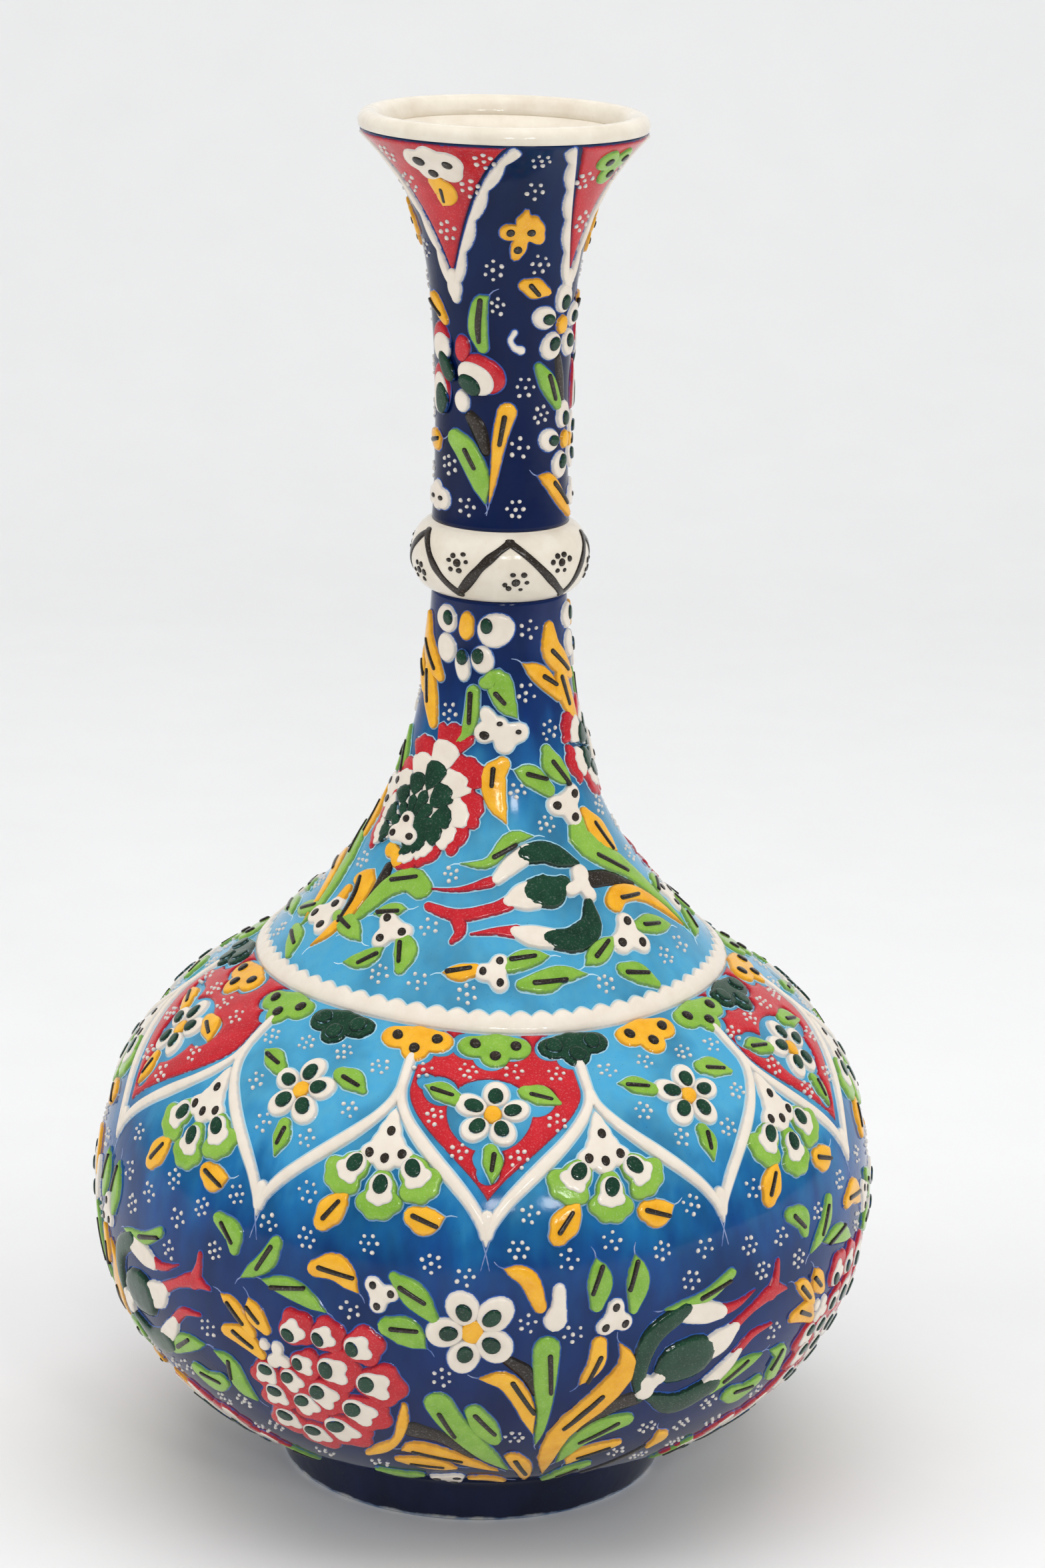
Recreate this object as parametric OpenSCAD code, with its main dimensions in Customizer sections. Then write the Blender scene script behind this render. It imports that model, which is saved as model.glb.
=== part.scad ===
// Bottle vase in glazed earthenware with raised enamel flowers.
// The clay is thrown in sections and luted: foot ring, belly, shoulder, collar, neck and lip.
// Each enamel colour of each motif is a separate deposit that lies on the clay wall.
// The vase stands on z = 0 with its axis on z. Azimuth 0 is the front (-y), positive to the right.

/* [Belly] */
// Outer radius of the belly at its widest
belly_r = 85.5; // [82:0.5:90]
// Height of the widest point of the belly
belly_mid_z = 65; // [64:0.5:67]
// Half the height that the belly curve would have if it closed at top and bottom
belly_half_h = 62; // [61:0.5:64]
// Roundness of the belly curve: 2 is an ellipse, more is squarer
belly_power = 2.2; // [2.1:0.05:2.3]
// Height of the ridge between belly and shoulder
ridge_z = 116.5; // [115:0.5:118]
// Clay wall thickness of belly and shoulder
wall_t = 4; // [3:0.25:5]
// Clay thickness of the floor
floor_t = 5.4; // [4:0.2:8]

/* [Foot] */
// Height of the foot ring
foot_h = 10.6; // [9:0.2:12]
// Outer radius of the foot ring where it stands
foot_r = 42.6; // [40:0.2:44]
// Outer radius of the foot ring where it meets the belly
foot_top_r = 44.8; // [43:0.2:45]
// Inner radius of the foot ring
foot_inner_r = 37.5; // [34:0.5:38]

/* [Shoulder and neck] */
// Outer radius at the bottom of the shoulder
shoulder_r = 51.5; // [50:0.5:51.5]
// Height over which the shoulder falls to the neck
shoulder_fall = 27.5; // [25:0.5:29]
// Outer radius of the slim neck
neck_r = 13.8; // [13.4:0.1:15]
// How much wider the neck is where it leaves the collar
neck_swell = 0.9; // [0:0.1:1.2]
// Height over which that extra width dies away
swell_fall = 12; // [8:1:20]
// Radius of the straight bore through the neck
bore_r = 10; // [8:0.25:10]
// Height where the straight bore opens into the trumpet
bore_top_z = 236; // [230:1:240]

/* [Collar] */
// Height of the middle of the collar ring
collar_z = 206; // [200:1:212]
// Half height of the collar ring
collar_half_h = 7.6; // [6:0.2:9]
// How far the collar ring stands out from the neck
collar_proud = 5.3; // [4:0.1:7]

/* [Trumpet and lip] */
// Height where the lip bead sits on the trumpet
lip_seat_z = 296; // [290:1:300]
// How far the trumpet flares beyond the slim neck
flare = 16.2; // [14:0.2:18]
// Height over which the flare opens
flare_fall = 15; // [12:0.5:18]
// Clay thickness at the top of the trumpet
lip_wall = 3.4; // [3:0.1:4]

/* [Enamel] */
// Thickness of the raised cream lines
line_t = 1.0; // [0.6:0.1:1.4]
// Thickness of the raised leaves and flowers
motif_t = 0.9; // [0.6:0.1:1.4]
// Thickness of the wide red fields
field_t = 0.5; // [0.3:0.1:0.8]
// Number of ogee petals round the belly
petals = 10; // [10:2:10]
// Number of scallops on the cream band
scallops = 70; // [60:2:80]

/* [Hidden] */

round_fn = 96;
circle_fn = 32;
arc_fn = 240;
cream = [0.93, 0.89, 0.82];
red = [0.75, 0.14, 0.19];
lime = [0.52, 0.72, 0.22];
dark_green = [0.10, 0.25, 0.18];
yellow = [0.92, 0.66, 0.16];
black = [0.14, 0.12, 0.10];
navy = [0.10, 0.15, 0.38];
turquoise = [0.24, 0.60, 0.78];

// --- Outer line of the wall, as [radius, height] points from foot to lip ---

belly_steps = 22;
shoulder_steps = 20;
neck_steps = 18;
shoulder_power = 1.25;
foot_angle = -asin(pow((belly_mid_z - foot_h) / belly_half_h, belly_power / 2));
ridge_angle = asin(pow((ridge_z - belly_mid_z) / belly_half_h, belly_power / 2));
collar_lo_z = collar_z - collar_half_h;
collar_hi_z = collar_z + collar_half_h;

function belly_point(a) = [
    belly_r * pow(cos(a), 2 / belly_power),
    belly_mid_z + belly_half_h * sign(a) * pow(abs(sin(a)), 2 / belly_power)
];
function shoulder_radius(z) =
    neck_r + (shoulder_r - neck_r) * exp(-pow((z - ridge_z) / shoulder_fall, shoulder_power));
function neck_radius(z) =
    neck_r + neck_swell * exp(-(z - collar_hi_z) / swell_fall) + flare * exp(-(lip_seat_z - z) / flare_fall);

belly_line = [for (i = [0 : belly_steps])
    belly_point(foot_angle + (ridge_angle - foot_angle) * i / belly_steps)];
shoulder_line = [for (i = [0 : shoulder_steps])
    let (z = ridge_z + (collar_lo_z - ridge_z) * pow(i / shoulder_steps, 1.3))
    [shoulder_radius(z), z]];
collar_line = [for (a = [-80 : 16 : 80])
    [neck_r + collar_proud * cos(a), collar_z + collar_half_h * sin(a)]];
neck_line = [for (i = [0 : neck_steps])
    let (z = lip_seat_z - (lip_seat_z - collar_hi_z) * pow(1 - i / neck_steps, 1.5))
    [neck_radius(z), z]];
outer_line = concat([[foot_r, 0], [foot_top_r, foot_h]], belly_line, shoulder_line, collar_line, neck_line);

// --- Distance along that line, called the mark, measured from the foot ---

function runs(line, i = 0, total = 0) = i == len(line) - 1
    ? [total]
    : concat([total], runs(line, i + 1, total + norm(line[i + 1] - line[i])));
line_runs = runs(outer_line);
run_to_r = [for (i = [0 : len(outer_line) - 1]) [line_runs[i], outer_line[i][0]]];
run_to_z = [for (i = [0 : len(outer_line) - 1]) [line_runs[i], outer_line[i][1]]];
ridge_i = 2 + belly_steps;
collar_i = ridge_i + 1 + shoulder_steps;
neck_i = collar_i + 1 + len(collar_line);
// Motif marks are written for the nominal vase and stretch with the sections when a size changes
nominal_marks = [[0, 0], [149, line_runs[ridge_i]], [243, line_runs[collar_i]],
    [264, line_runs[neck_i]], [351, line_runs[len(outer_line) - 1]]];
function run(mark) = lookup(mark, nominal_marks);
function at_run(s) = [lookup(s, run_to_r), lookup(s, run_to_z)];
function slope(s) = at_run(s + 0.2) - at_run(s - 0.2);
function out_dir(s) = [slope(s)[1], -slope(s)[0]] / norm(slope(s));
function tilt(s) = atan2(out_dir(s)[1], out_dir(s)[0]);

// Where a point of the wall falls on the plane that touches the wall at another point
function flat(az, mark, az0, mark0) =
    let (p = at_run(run(mark)), q = at_run(run(mark0)), t = tilt(run(mark0)))
    [p[0] * sin(az - az0), (q[0] - p[0] * cos(az - az0)) * sin(t) + (p[1] - q[1]) * cos(t)];

// --- Shared building blocks for the enamel ---

// A thin skin all round the wall between two marks, from one height above the clay to another
module skin(lo, hi, t, from = 0) {
    a = run(lo);
    b = run(hi);
    stations = concat([a], [for (s = line_runs) if (s > a + 0.05 && s < b - 0.05) s], [b]);
    inner = [for (s = stations) at_run(s) + from * out_dir(s)];
    outer = [for (i = [len(stations) - 1 : -1 : 0])
        at_run(stations[i]) + t * out_dir(stations[i])];
    rotate_extrude($fn = round_fn) polygon(concat(inner, outer));
}

// The part of that skin that lies inside the cutters given as children
module deposit(lo, hi, t, from = 0) {
    intersection() {
        skin(lo, hi, t, from);
        union() children();
    }
}

// Puts a flat outline on the wall as a cutter: x runs to the right, y up the wall
module on_wall(az, mark, turn = 0, depth = 6) {
    p = at_run(run(mark));
    rotate([0, 0, az])
        translate([0, -p[0], p[1]])
            rotate([90 - tilt(run(mark)), 0, 0])
                rotate([0, 0, turn])
                    translate([0, 0, -depth])
                        linear_extrude(2 * depth) children();
}

// Leaf outline: two arcs that meet in points, its length along y
module leaf(l, w) {
    r = (l * l + w * w) / (4 * w);
    intersection() {
        translate([r - w / 2, 0]) circle(r, $fn = arc_fn);
        translate([w / 2 - r, 0]) circle(r, $fn = arc_fn);
    }
}

// Leaves from a list of [azimuth, mark, turn, length, width]
module leaves(list) {
    for (l = list)
        on_wall(l[0], l[1], l[2]) leaf(l[3], l[4]);
}

// Ring of round petals round a blossom's heart
module blossom_petals(ring_r, petal_r) {
    for (i = [0 : 4])
        rotate([0, 0, 90 + 72 * i])
            translate([ring_r, 0]) circle(petal_r, $fn = circle_fn);
}

// Three lobes hanging from a short bar
module trefoil(grow = 0) {
    translate([0, -2.6]) circle(3 + grow, $fn = circle_fn);
    for (side = [-1, 1])
        translate([side * 4.4, 0.2]) circle(2.7 + grow, $fn = circle_fn);
    translate([-4.4 - grow, -0.6 - grow]) square([8.8 + 2 * grow, 3.2 + 2 * grow]);
}

// --- Layout of the belly ---

petal_step = 360 / petals;
petal_tip = 99.5;
petal_inner_tip = 104;
petal_top = 133;
stem_top = 139;
blossom_mark = 127;
blossom_ring = 5.4;
blossom_petal_r = 3;
heart_r = 1.9;
trefoil_mark = 145;
trefoil_first = 1 - petals; // place of the first trefoil; place 0 is the front

function ease(x) = let (t = min(1, max(0, x))) t * t * (3 - 2 * t);
// Half width of an ogee petal in degrees, from its tip to its top
function ogee_half(mark, tip, half) = half * ease((mark - tip) / (petal_top - tip));
function ogee_marks(tip, top) = concat([for (i = [0 : 9]) tip + (petal_top - tip) * i / 9], [top]);
function ogee_outline(tip, half, top) = concat(
    [for (m = ogee_marks(tip, top)) flat(ogee_half(m, tip, half), m, 0, 120)],
    [for (i = [10 : -1 : 1])
        let (m = ogee_marks(tip, top)[i]) flat(-ogee_half(m, tip, half), m, 0, 120)]
);

module trefoil_cutters(first, step, grow = 0) {
    for (k = [first : step : petals])
        on_wall(k * 180 / petals, trefoil_mark) trefoil(grow);
}

module blossom_window() {
    circle(10.2, $fn = circle_fn);
    for (side = [-1, 1])
        translate([side * 11.2, 4]) rotate([0, 0, side * 75]) scale(1.15) leaf(11, 6.4);
    translate([0, -14]) scale(1.15) leaf(11, 6);
}

// --- Layout of the flowers, each four times round the vase ---

quarter = [0, 90, 180, 270];

// Tulip lying to the right: bulb, bands and tips as separate colours, x along the flower
module tulip_bulb() {
    translate([9, 0]) circle(6, $fn = circle_fn);
    for (side = [-1, 1])
        translate([8, side * 10.2]) rotate([0, 0, 90]) leaf(21, 5.6);
}
module tulip_band() {
    translate([18.6, 0]) rotate([0, 0, 90]) leaf(6.4, 5.6);
    for (side = [-1, 1])
        translate([22.4, side * 9.2]) rotate([0, 0, 90 - side * 8]) leaf(7.2, 4.4);
}
module tulip_tip() {
    translate([29, 0]) rotate([0, 0, 90]) leaf(13.6, 4);
    for (side = [-1, 1])
        translate([31, side * 8]) rotate([0, 0, 90 - side * 12]) leaf(8.8, 3.4);
}

belly_tulips = [for (q = quarter) [26 + q, 68, 16]];
shoulder_tulips = [[37, 179, 180], [-113, 179, 180], [160, 179, 180]];
tulip_places = concat(belly_tulips, shoulder_tulips);

// Carnation head as rows of round petals, each [x, y]
carnation_petals = [
    [-7, 12], [0, 13], [7, 12],
    [-10, 4.6], [-3.2, 5], [4, 5.2], [11, 4],
    [-6.6, -2.6], [0.4, -3], [7.6, -3.4]
];
belly_carnations = [for (q = quarter) [-24 + q, 62, 0]];
shoulder_carnations = [[-48, 199, 0], [80, 206, 0], [200, 206, 0]];

carnation_petal_r = 3.2;
carnation_core_r = 1.9;

// Lays one colour of every carnation petal, between two heights above the clay
module carnation_deposit(r, from, t) {
    deposit(50, 82, t, from)
        for (c = belly_carnations)
            on_wall(c[0], c[1], c[2])
                for (p = carnation_petals) translate(p) circle(r, $fn = circle_fn);
    deposit(190, 226, t, from)
        for (c = shoulder_carnations)
            on_wall(c[0], c[1], c[2])
                for (a = [-60, -20, 20, 60])
                    rotate([0, 0, a]) translate([0, 8]) circle(0.75 * r, $fn = circle_fn);
}

bouquet_green = [[9.7, 68, 0, 22, 5], [20, 53.5, -42, 15, 5], [1, 49, 36, 24, 4.6], [18, 34, -22, 12, 4]];
bouquet_yellow = [[4.5, 64, 28, 18, 4.2], [15, 57, -12, 38, 5], [7.6, 40, 10, 18, 4.6], [21, 44, -64, 11, 4.4]];
function round_vase(list) = [for (q = quarter) for (l = list) [l[0] + q, l[1], l[2], l[3], l[4]]];

neck_green = [[48, 187, 28, 24, 6], [-36, 180, -60, 20, 6], [14, 163, 80, 18, 6], [-16, 222, 6, 12, 4.4],
    [0, 226, 30, 11, 5], [-16, 308, 0, 10, 4], [-24, 277, 40, 18, 4.6], [40, 295, 30, 11, 4.4],
    [130, 187, 28, 22, 6], [-150, 187, 28, 22, 6], [120, 222, 20, 12, 5], [-120, 222, -20, 12, 5],
    [150, 280, 30, 18, 4.6], [-120, 280, -30, 16, 4.6]];
neck_yellow = [[62, 190, 20, 12, 5.4], [-57, 174, 14, 16, 5.4], [0, 204, 70, 9, 6], [52, 230, 60, 14, 5],
    [-6, 283, -12, 15, 4.6], [60, 273, 58, 14, 4.4], [150, 226, 40, 14, 5], [-160, 226, -40, 14, 5],
    [110, 285, 20, 14, 4.6], [-90, 285, -20, 14, 4.6]];

upper_blossoms = [[-26, 235], [58, 308], [100, 236], [-150, 236], [180, 306], [-80, 304]];

zigzag_peaks = 5;
zigzag_first = 7;

// Pennants as [left azimuth at the lip, right azimuth, apex azimuth, how much lower the apex hangs]
pennants = [[-80, 1, -40, 3], [32, 82, 57, 0], [112, 168, 140, 0], [198, 250, 224, 0]];

// --- Clay ---

module foot_ring() {
    edge = 0.8;
    color(navy)
        rotate_extrude($fn = round_fn)
            polygon([
                [foot_inner_r + edge, 0], [foot_r - edge, 0], [foot_r, edge], [foot_top_r, foot_h],
                [foot_inner_r, foot_h], [foot_inner_r, edge]
            ]);
}

// Inner line of a stretch of wall, a wall thickness inside the outer line
function inner_point(i) = outer_line[i] - wall_t * out_dir(line_runs[i] - 0.3);
belly_inner = [for (i = [3 : ridge_i]) if (inner_point(i)[1] > foot_h + floor_t + 1) inner_point(i)];
shoulder_inner = [for (i = [ridge_i + 3 : collar_i - 1])
    let (p = outer_line[i] - wall_t * out_dir(line_runs[i]))
    if (p[0] > bore_r + 0.5) p];
seam_r = shoulder_r - wall_t - 1;

module belly_shell() {
    floor_z = foot_h + floor_t;
    color(navy)
        rotate_extrude($fn = round_fn)
            polygon(concat(
                [[0, foot_h]],
                belly_line,
                [[seam_r, ridge_z]],
                [for (i = [len(belly_inner) - 1 : -1 : 0]) if (belly_inner[i][1] < ridge_z - 2) belly_inner[i]],
                [[belly_inner[0][0] - 5, floor_z], [0, floor_z]]
            ));
}

module shoulder_neck() {
    color(turquoise)
        rotate_extrude($fn = round_fn)
            polygon(concat(
                [[seam_r, ridge_z]],
                shoulder_line,
                [[neck_r, collar_lo_z], [neck_r, collar_z], [bore_r, collar_z]],
                [[bore_r, shoulder_inner[len(shoulder_inner) - 1][1] + 3]],
                [for (i = [len(shoulder_inner) - 1 : -1 : 0]) shoulder_inner[i]]
            ));
}

module collar_ring() {
    color(cream)
        rotate_extrude($fn = round_fn)
            polygon(concat([[neck_r, collar_lo_z]], collar_line, [neck_line[0], [neck_r, collar_hi_z]]));
}

module neck_upper() {
    inner = [for (p = neck_line) if (p[1] > bore_top_z + 6) [p[0] - lip_wall, p[1]]];
    color(navy)
        rotate_extrude($fn = round_fn)
            polygon(concat(
                [[neck_r, collar_z], [neck_r, collar_hi_z]],
                neck_line,
                [for (i = [len(inner) - 1 : -1 : 0]) inner[i]],
                [[bore_r, bore_top_z], [bore_r, collar_z]]
            ));
}

// Rounded bead that closes the wall at the mouth
module lip_ring() {
    half_h = 2.4;
    seat_drop = 1.6;
    seat_a = asin(seat_drop / half_h);
    half_w = lip_wall / 2 / cos(seat_a);
    mid_r = neck_radius(lip_seat_z) - lip_wall / 2;
    color(cream)
        rotate_extrude($fn = round_fn)
            polygon([for (i = [0 : 16])
                let (a = -seat_a + (180 + 2 * seat_a) * i / 16)
                [mid_r + half_w * cos(a), lip_seat_z + seat_drop + half_h * sin(a)]]);
}

// --- Enamel on the belly ---

// Cream band on the ridge with a scalloped upper edge
module scallop_band() {
    scallop_r = 2.7;
    color(cream) {
        skin(149.6, 153, line_t);
        deposit(153, 156.4, line_t)
            for (i = [0 : scallops - 1])
                on_wall(i * 360 / scallops, 153) circle(scallop_r * 70 / scallops, $fn = circle_fn);
    }
}

// Raised cream ogee lines: a ring between two ogee outlines, joined at the stems
module petal_borders() {
    half = petal_step / 2;
    color(cream)
        deposit(98, stem_top, line_t)
            for (k = [0 : petals - 1])
                on_wall(k * petal_step, 120, depth = 12)
                    difference() {
                        polygon(ogee_outline(petal_tip, half + 0.15, stem_top + 1));
                        polygon(ogee_outline(petal_inner_tip, half - 0.95, stem_top + 4));
                    }
}

// Red ground of every second petal, left open round its blossom
module red_petal_fields() {
    color(red)
        difference() {
            deposit(105, 148.4, field_t)
                for (k = [0 : 2 : petals - 1])
                    on_wall(k * petal_step, 120, depth = 12)
                        difference() {
                            polygon(ogee_outline(petal_inner_tip + 0.8, petal_step / 2 - 1.5, 150));
                            translate([0, 8]) blossom_window();
                        }
            trefoil_cutters(trefoil_first, 1, 0.5);
        }
}

module petal_blossoms() {
    color(cream)
        deposit(116, 138, motif_t)
            for (k = [0 : petals - 1])
                on_wall(k * petal_step, blossom_mark) blossom_petals(blossom_ring, blossom_petal_r);
}

// Yellow hearts of all five-petalled blossoms
module blossom_hearts() {
    color(yellow) {
        deposit(116, 138, motif_t)
            for (k = [0 : petals - 1])
                on_wall(k * petal_step, blossom_mark) circle(heart_r, $fn = circle_fn);
        deposit(76, 90, motif_t)
            for (q = quarter) on_wall(q, 82.5) circle(heart_r, $fn = circle_fn);
    }
}

module petal_leaves() {
    side_az = 8.6;
    color(lime)
        deposit(108, 140, motif_t)
            for (k = [0 : petals - 1]) {
                for (side = [-1, 1])
                    on_wall(k * petal_step + side * side_az, 131, side * 75) leaf(9, 5);
                on_wall(k * petal_step, 114.6) leaf(9, 4.4);
            }
}

// Cream cone in the notch between two petals
module notch_cones() {
    color(cream)
        deposit(113, 129, motif_t)
            for (k = [0 : petals - 1])
                on_wall((k + 0.5) * petal_step, 118) {
                    polygon([[-4.4, 0], [0, 7.6], [4.4, 0]]);
                    for (x = [-2.9, 0, 2.9])
                        translate([x, x == 0 ? -1.4 : -0.2]) circle(1.9, $fn = circle_fn);
                }
}

module notch_sepals() {
    color(lime)
        deposit(101, 119, motif_t)
            for (k = [0 : petals - 1])
                on_wall((k + 0.5) * petal_step, 111) {
                    translate([0, -2.4]) leaf(9.6, 6);
                    for (side = [-1, 1])
                        translate([side * 6.2, 0.6]) rotate([0, 0, side * 18]) leaf(9, 5);
                }
}

module notch_leaves() {
    color(yellow)
        deposit(98, 110, motif_t)
            for (k = [0 : petals - 1])
                for (side = [-1, 1])
                    on_wall((k + 0.5) * petal_step + side * 7.4, 103, side * 20) leaf(7.4, 4.4);
}

module trefoils_green() {
    color(lime) deposit(138, 148.6, motif_t) trefoil_cutters(trefoil_first, 3);
}

module trefoils_dark() {
    color(dark_green) deposit(138, 148.6, motif_t) trefoil_cutters(trefoil_first + 1, 3);
}

module trefoils_yellow() {
    color(yellow) deposit(138, 148.6, motif_t) trefoil_cutters(trefoil_first + 2, 3);
}

// --- Tulips and carnations on belly and shoulder ---

// Lays one colour of every tulip on belly and shoulder. The slim shoulder turns away quickly,
// so the cutter touches it at the middle of that colour, a distance reach along the flower.
module tulip_deposit(reach) {
    degrees_per_mm = 180 / PI / at_run(run(179))[0];
    deposit(48, 95, motif_t)
        for (t = belly_tulips) on_wall(t[0], t[1], t[2]) children();
    deposit(150, 200, motif_t)
        for (t = shoulder_tulips)
            on_wall(t[0] - reach * degrees_per_mm, t[1], t[2])
                scale(0.95) translate([-reach, 0]) children();
}

module tulip_bulbs() { color(dark_green) tulip_deposit(9) tulip_bulb(); }
module tulip_bands() { color(cream) tulip_deposit(20) tulip_band(); }
module tulip_tips() { color(red) tulip_deposit(30) tulip_tip(); }

// Red petals, laid first, and their cream cores on top of them
module carnation_petals_red() {
    color(red) carnation_deposit(carnation_petal_r, 0, motif_t / 2);
}

module carnation_cores() {
    color(cream) carnation_deposit(carnation_core_r, motif_t / 2, motif_t);
}

module bouquet_blossoms() {
    color(cream)
        deposit(70, 95, motif_t)
            for (q = quarter) on_wall(q, 82.5) blossom_petals(blossom_ring, blossom_petal_r);
}

module bouquet_leaves_green() {
    color(lime) deposit(24, 92, motif_t) leaves(round_vase(bouquet_green));
}

module bouquet_leaves_yellow() {
    color(yellow) deposit(24, 92, motif_t) leaves(round_vase(bouquet_yellow));
}

// --- Enamel on the neck ---

module neck_blossoms() {
    color(cream)
        deposit(226, 320, motif_t)
            for (b = upper_blossoms) on_wall(b[0], b[1]) blossom_petals(3.6, 1.9);
}

module neck_leaves_green() {
    color(lime) {
        deposit(152, 242, motif_t) leaves([for (l = neck_green) if (l[1] < 243) l]);
        deposit(266, 320, motif_t) leaves([for (l = neck_green) if (l[1] > 243) l]);
    }
}

module neck_leaves_yellow() {
    color(yellow) {
        deposit(152, 242, motif_t) leaves([for (l = neck_yellow) if (l[1] < 243) l]);
        deposit(266, 320, motif_t) leaves([for (l = neck_yellow) if (l[1] > 243) l]);
    }
}

// Black raised line that runs up and down round the collar
module collar_zigzag() {
    half_line = 1.2;
    lo = 246;
    hi = 260;
    color(black)
        deposit(244, 262, motif_t)
            for (i = [0 : zigzag_peaks - 1])
                for (side = [-1, 1]) {
                    peak = zigzag_first + 360 / zigzag_peaks * i;
                    low = peak + side * 180 / zigzag_peaks;
                    mid = (peak + low) / 2;
                    on_wall(mid, 253)
                        polygon([
                            flat(low, lo - half_line, mid, 253), flat(peak, hi - half_line, mid, 253),
                            flat(peak, hi + half_line, mid, 253), flat(low, lo + half_line, mid, 253)
                        ]);
                }
}

// Triangle that hangs from the lip, given its margin in degrees and the mark of its apex
module pennant(p, margin, apex_mark) {
    top_mark = 352;
    on_wall(p[2], 336, depth = 12)
        polygon([
            flat(p[0] - margin, top_mark, p[2], 336),
            flat(p[2], apex_mark - p[3], p[2], 336),
            flat(p[1] + margin, top_mark, p[2], 336)
        ]);
}

module pennant_fields() {
    color(red)
        deposit(316, 349, field_t)
            for (p = pennants) pennant(p, -2, 322);
}

module pennant_borders() {
    color(cream)
        difference() {
            deposit(310, 349.4, line_t)
                for (p = pennants) pennant(p, 4, 315);
            for (p = pennants) pennant(p, 0, 320.6);
        }
}

// --- Assembly ---

foot_ring();
belly_shell();
shoulder_neck();
collar_ring();
neck_upper();
lip_ring();
scallop_band();
petal_borders();
red_petal_fields();
petal_blossoms();
blossom_hearts();
petal_leaves();
notch_cones();
notch_sepals();
notch_leaves();
trefoils_green();
trefoils_dark();
trefoils_yellow();
tulip_bulbs();
tulip_bands();
tulip_tips();
carnation_petals_red();
carnation_cores();
bouquet_blossoms();
bouquet_leaves_green();
bouquet_leaves_yellow();
neck_blossoms();
neck_leaves_green();
neck_leaves_yellow();
collar_zigzag();
pennant_fields();
pennant_borders();
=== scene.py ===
import math
import random

import bpy
import numpy as np
from mathutils import Matrix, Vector
from mathutils.kdtree import KDTree


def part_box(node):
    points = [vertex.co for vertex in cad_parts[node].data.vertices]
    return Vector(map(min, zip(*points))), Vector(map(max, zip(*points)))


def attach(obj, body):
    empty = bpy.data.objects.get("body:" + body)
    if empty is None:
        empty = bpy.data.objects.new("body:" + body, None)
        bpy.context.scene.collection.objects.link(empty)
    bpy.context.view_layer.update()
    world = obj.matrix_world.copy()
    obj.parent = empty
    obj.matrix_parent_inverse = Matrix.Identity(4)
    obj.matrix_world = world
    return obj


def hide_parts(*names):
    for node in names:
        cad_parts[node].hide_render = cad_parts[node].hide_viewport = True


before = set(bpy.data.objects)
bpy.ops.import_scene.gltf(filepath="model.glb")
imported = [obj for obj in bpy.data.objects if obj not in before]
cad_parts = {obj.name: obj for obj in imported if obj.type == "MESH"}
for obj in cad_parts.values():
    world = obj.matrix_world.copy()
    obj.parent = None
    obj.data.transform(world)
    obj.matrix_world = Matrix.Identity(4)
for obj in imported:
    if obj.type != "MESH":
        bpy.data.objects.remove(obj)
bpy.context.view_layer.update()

# A bottle vase with raised enamel flowers. All shapes are worked out in millimetres on the
# vase's own wall: azimuth in degrees (0 is the front, positive to the right) and mark, the
# distance in millimetres up the wall from the foot. MM turns them into scene metres.

MM = 0.001
rng = random.Random(7)


# ---- The wall: the same outer line as the CAD model, from the frame's own boxes ----

def top_of(node):
    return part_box(node)[1].z / MM


def bottom_of(node):
    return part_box(node)[0].z / MM


def radius_of(node):
    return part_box(node)[1].x / MM


FOOT_H = top_of("foot_ring")
FOOT_TOP_R = radius_of("foot_ring")
FOOT_R = FOOT_TOP_R - 2.2
FOOT_INNER_R = 37.5
RIDGE_Z = top_of("belly_shell")
BELLY_R = radius_of("belly_shell")
BELLY_MID_Z = 65.0
BELLY_HALF_H = 62.0
BELLY_POWER = 2.2
SHOULDER_R = radius_of("shoulder_neck")
SHOULDER_FALL = 27.5
SHOULDER_POWER = 1.25
NECK_R = 13.8
NECK_SWELL = 0.9
SWELL_FALL = 12.0
COLLAR_LO_Z = bottom_of("collar_ring")
COLLAR_HI_Z = top_of("collar_ring")
COLLAR_PROUD = radius_of("collar_ring") - NECK_R
LIP_SEAT_Z = top_of("neck_upper")
LIP_TOP_Z = top_of("lip_ring")
TRUMPET_R = radius_of("neck_upper")
FLARE_FALL = 15.0
WALL_T = 4.0
LIP_WALL = 3.4
BORE_R = 10.0
FLOOR_Z = FOOT_H + 5.4


def belly_radius(z):
    t = abs(z - BELLY_MID_Z) / BELLY_HALF_H
    return BELLY_R * (1 - t ** BELLY_POWER) ** (1 / BELLY_POWER)


def shoulder_radius(z):
    fall = ((z - RIDGE_Z) / SHOULDER_FALL) ** SHOULDER_POWER
    return NECK_R + (SHOULDER_R - NECK_R) * math.exp(-fall)


def neck_radius(z):
    swell = NECK_SWELL * math.exp(-(z - COLLAR_HI_Z) / SWELL_FALL)
    return NECK_R + swell + (TRUMPET_R - NECK_R) * math.exp(-(LIP_SEAT_Z - z) / FLARE_FALL)


def stations(low, high, count):
    """Evenly spaced values from low to high."""
    return [low + (high - low) * i / (count - 1) for i in range(count)]


def collar_point(angle):
    mid = (COLLAR_LO_Z + COLLAR_HI_Z) / 2
    half = (COLLAR_HI_Z - COLLAR_LO_Z) / 2
    return NECK_R + COLLAR_PROUD * math.cos(angle), mid + half * math.sin(angle)


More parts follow.
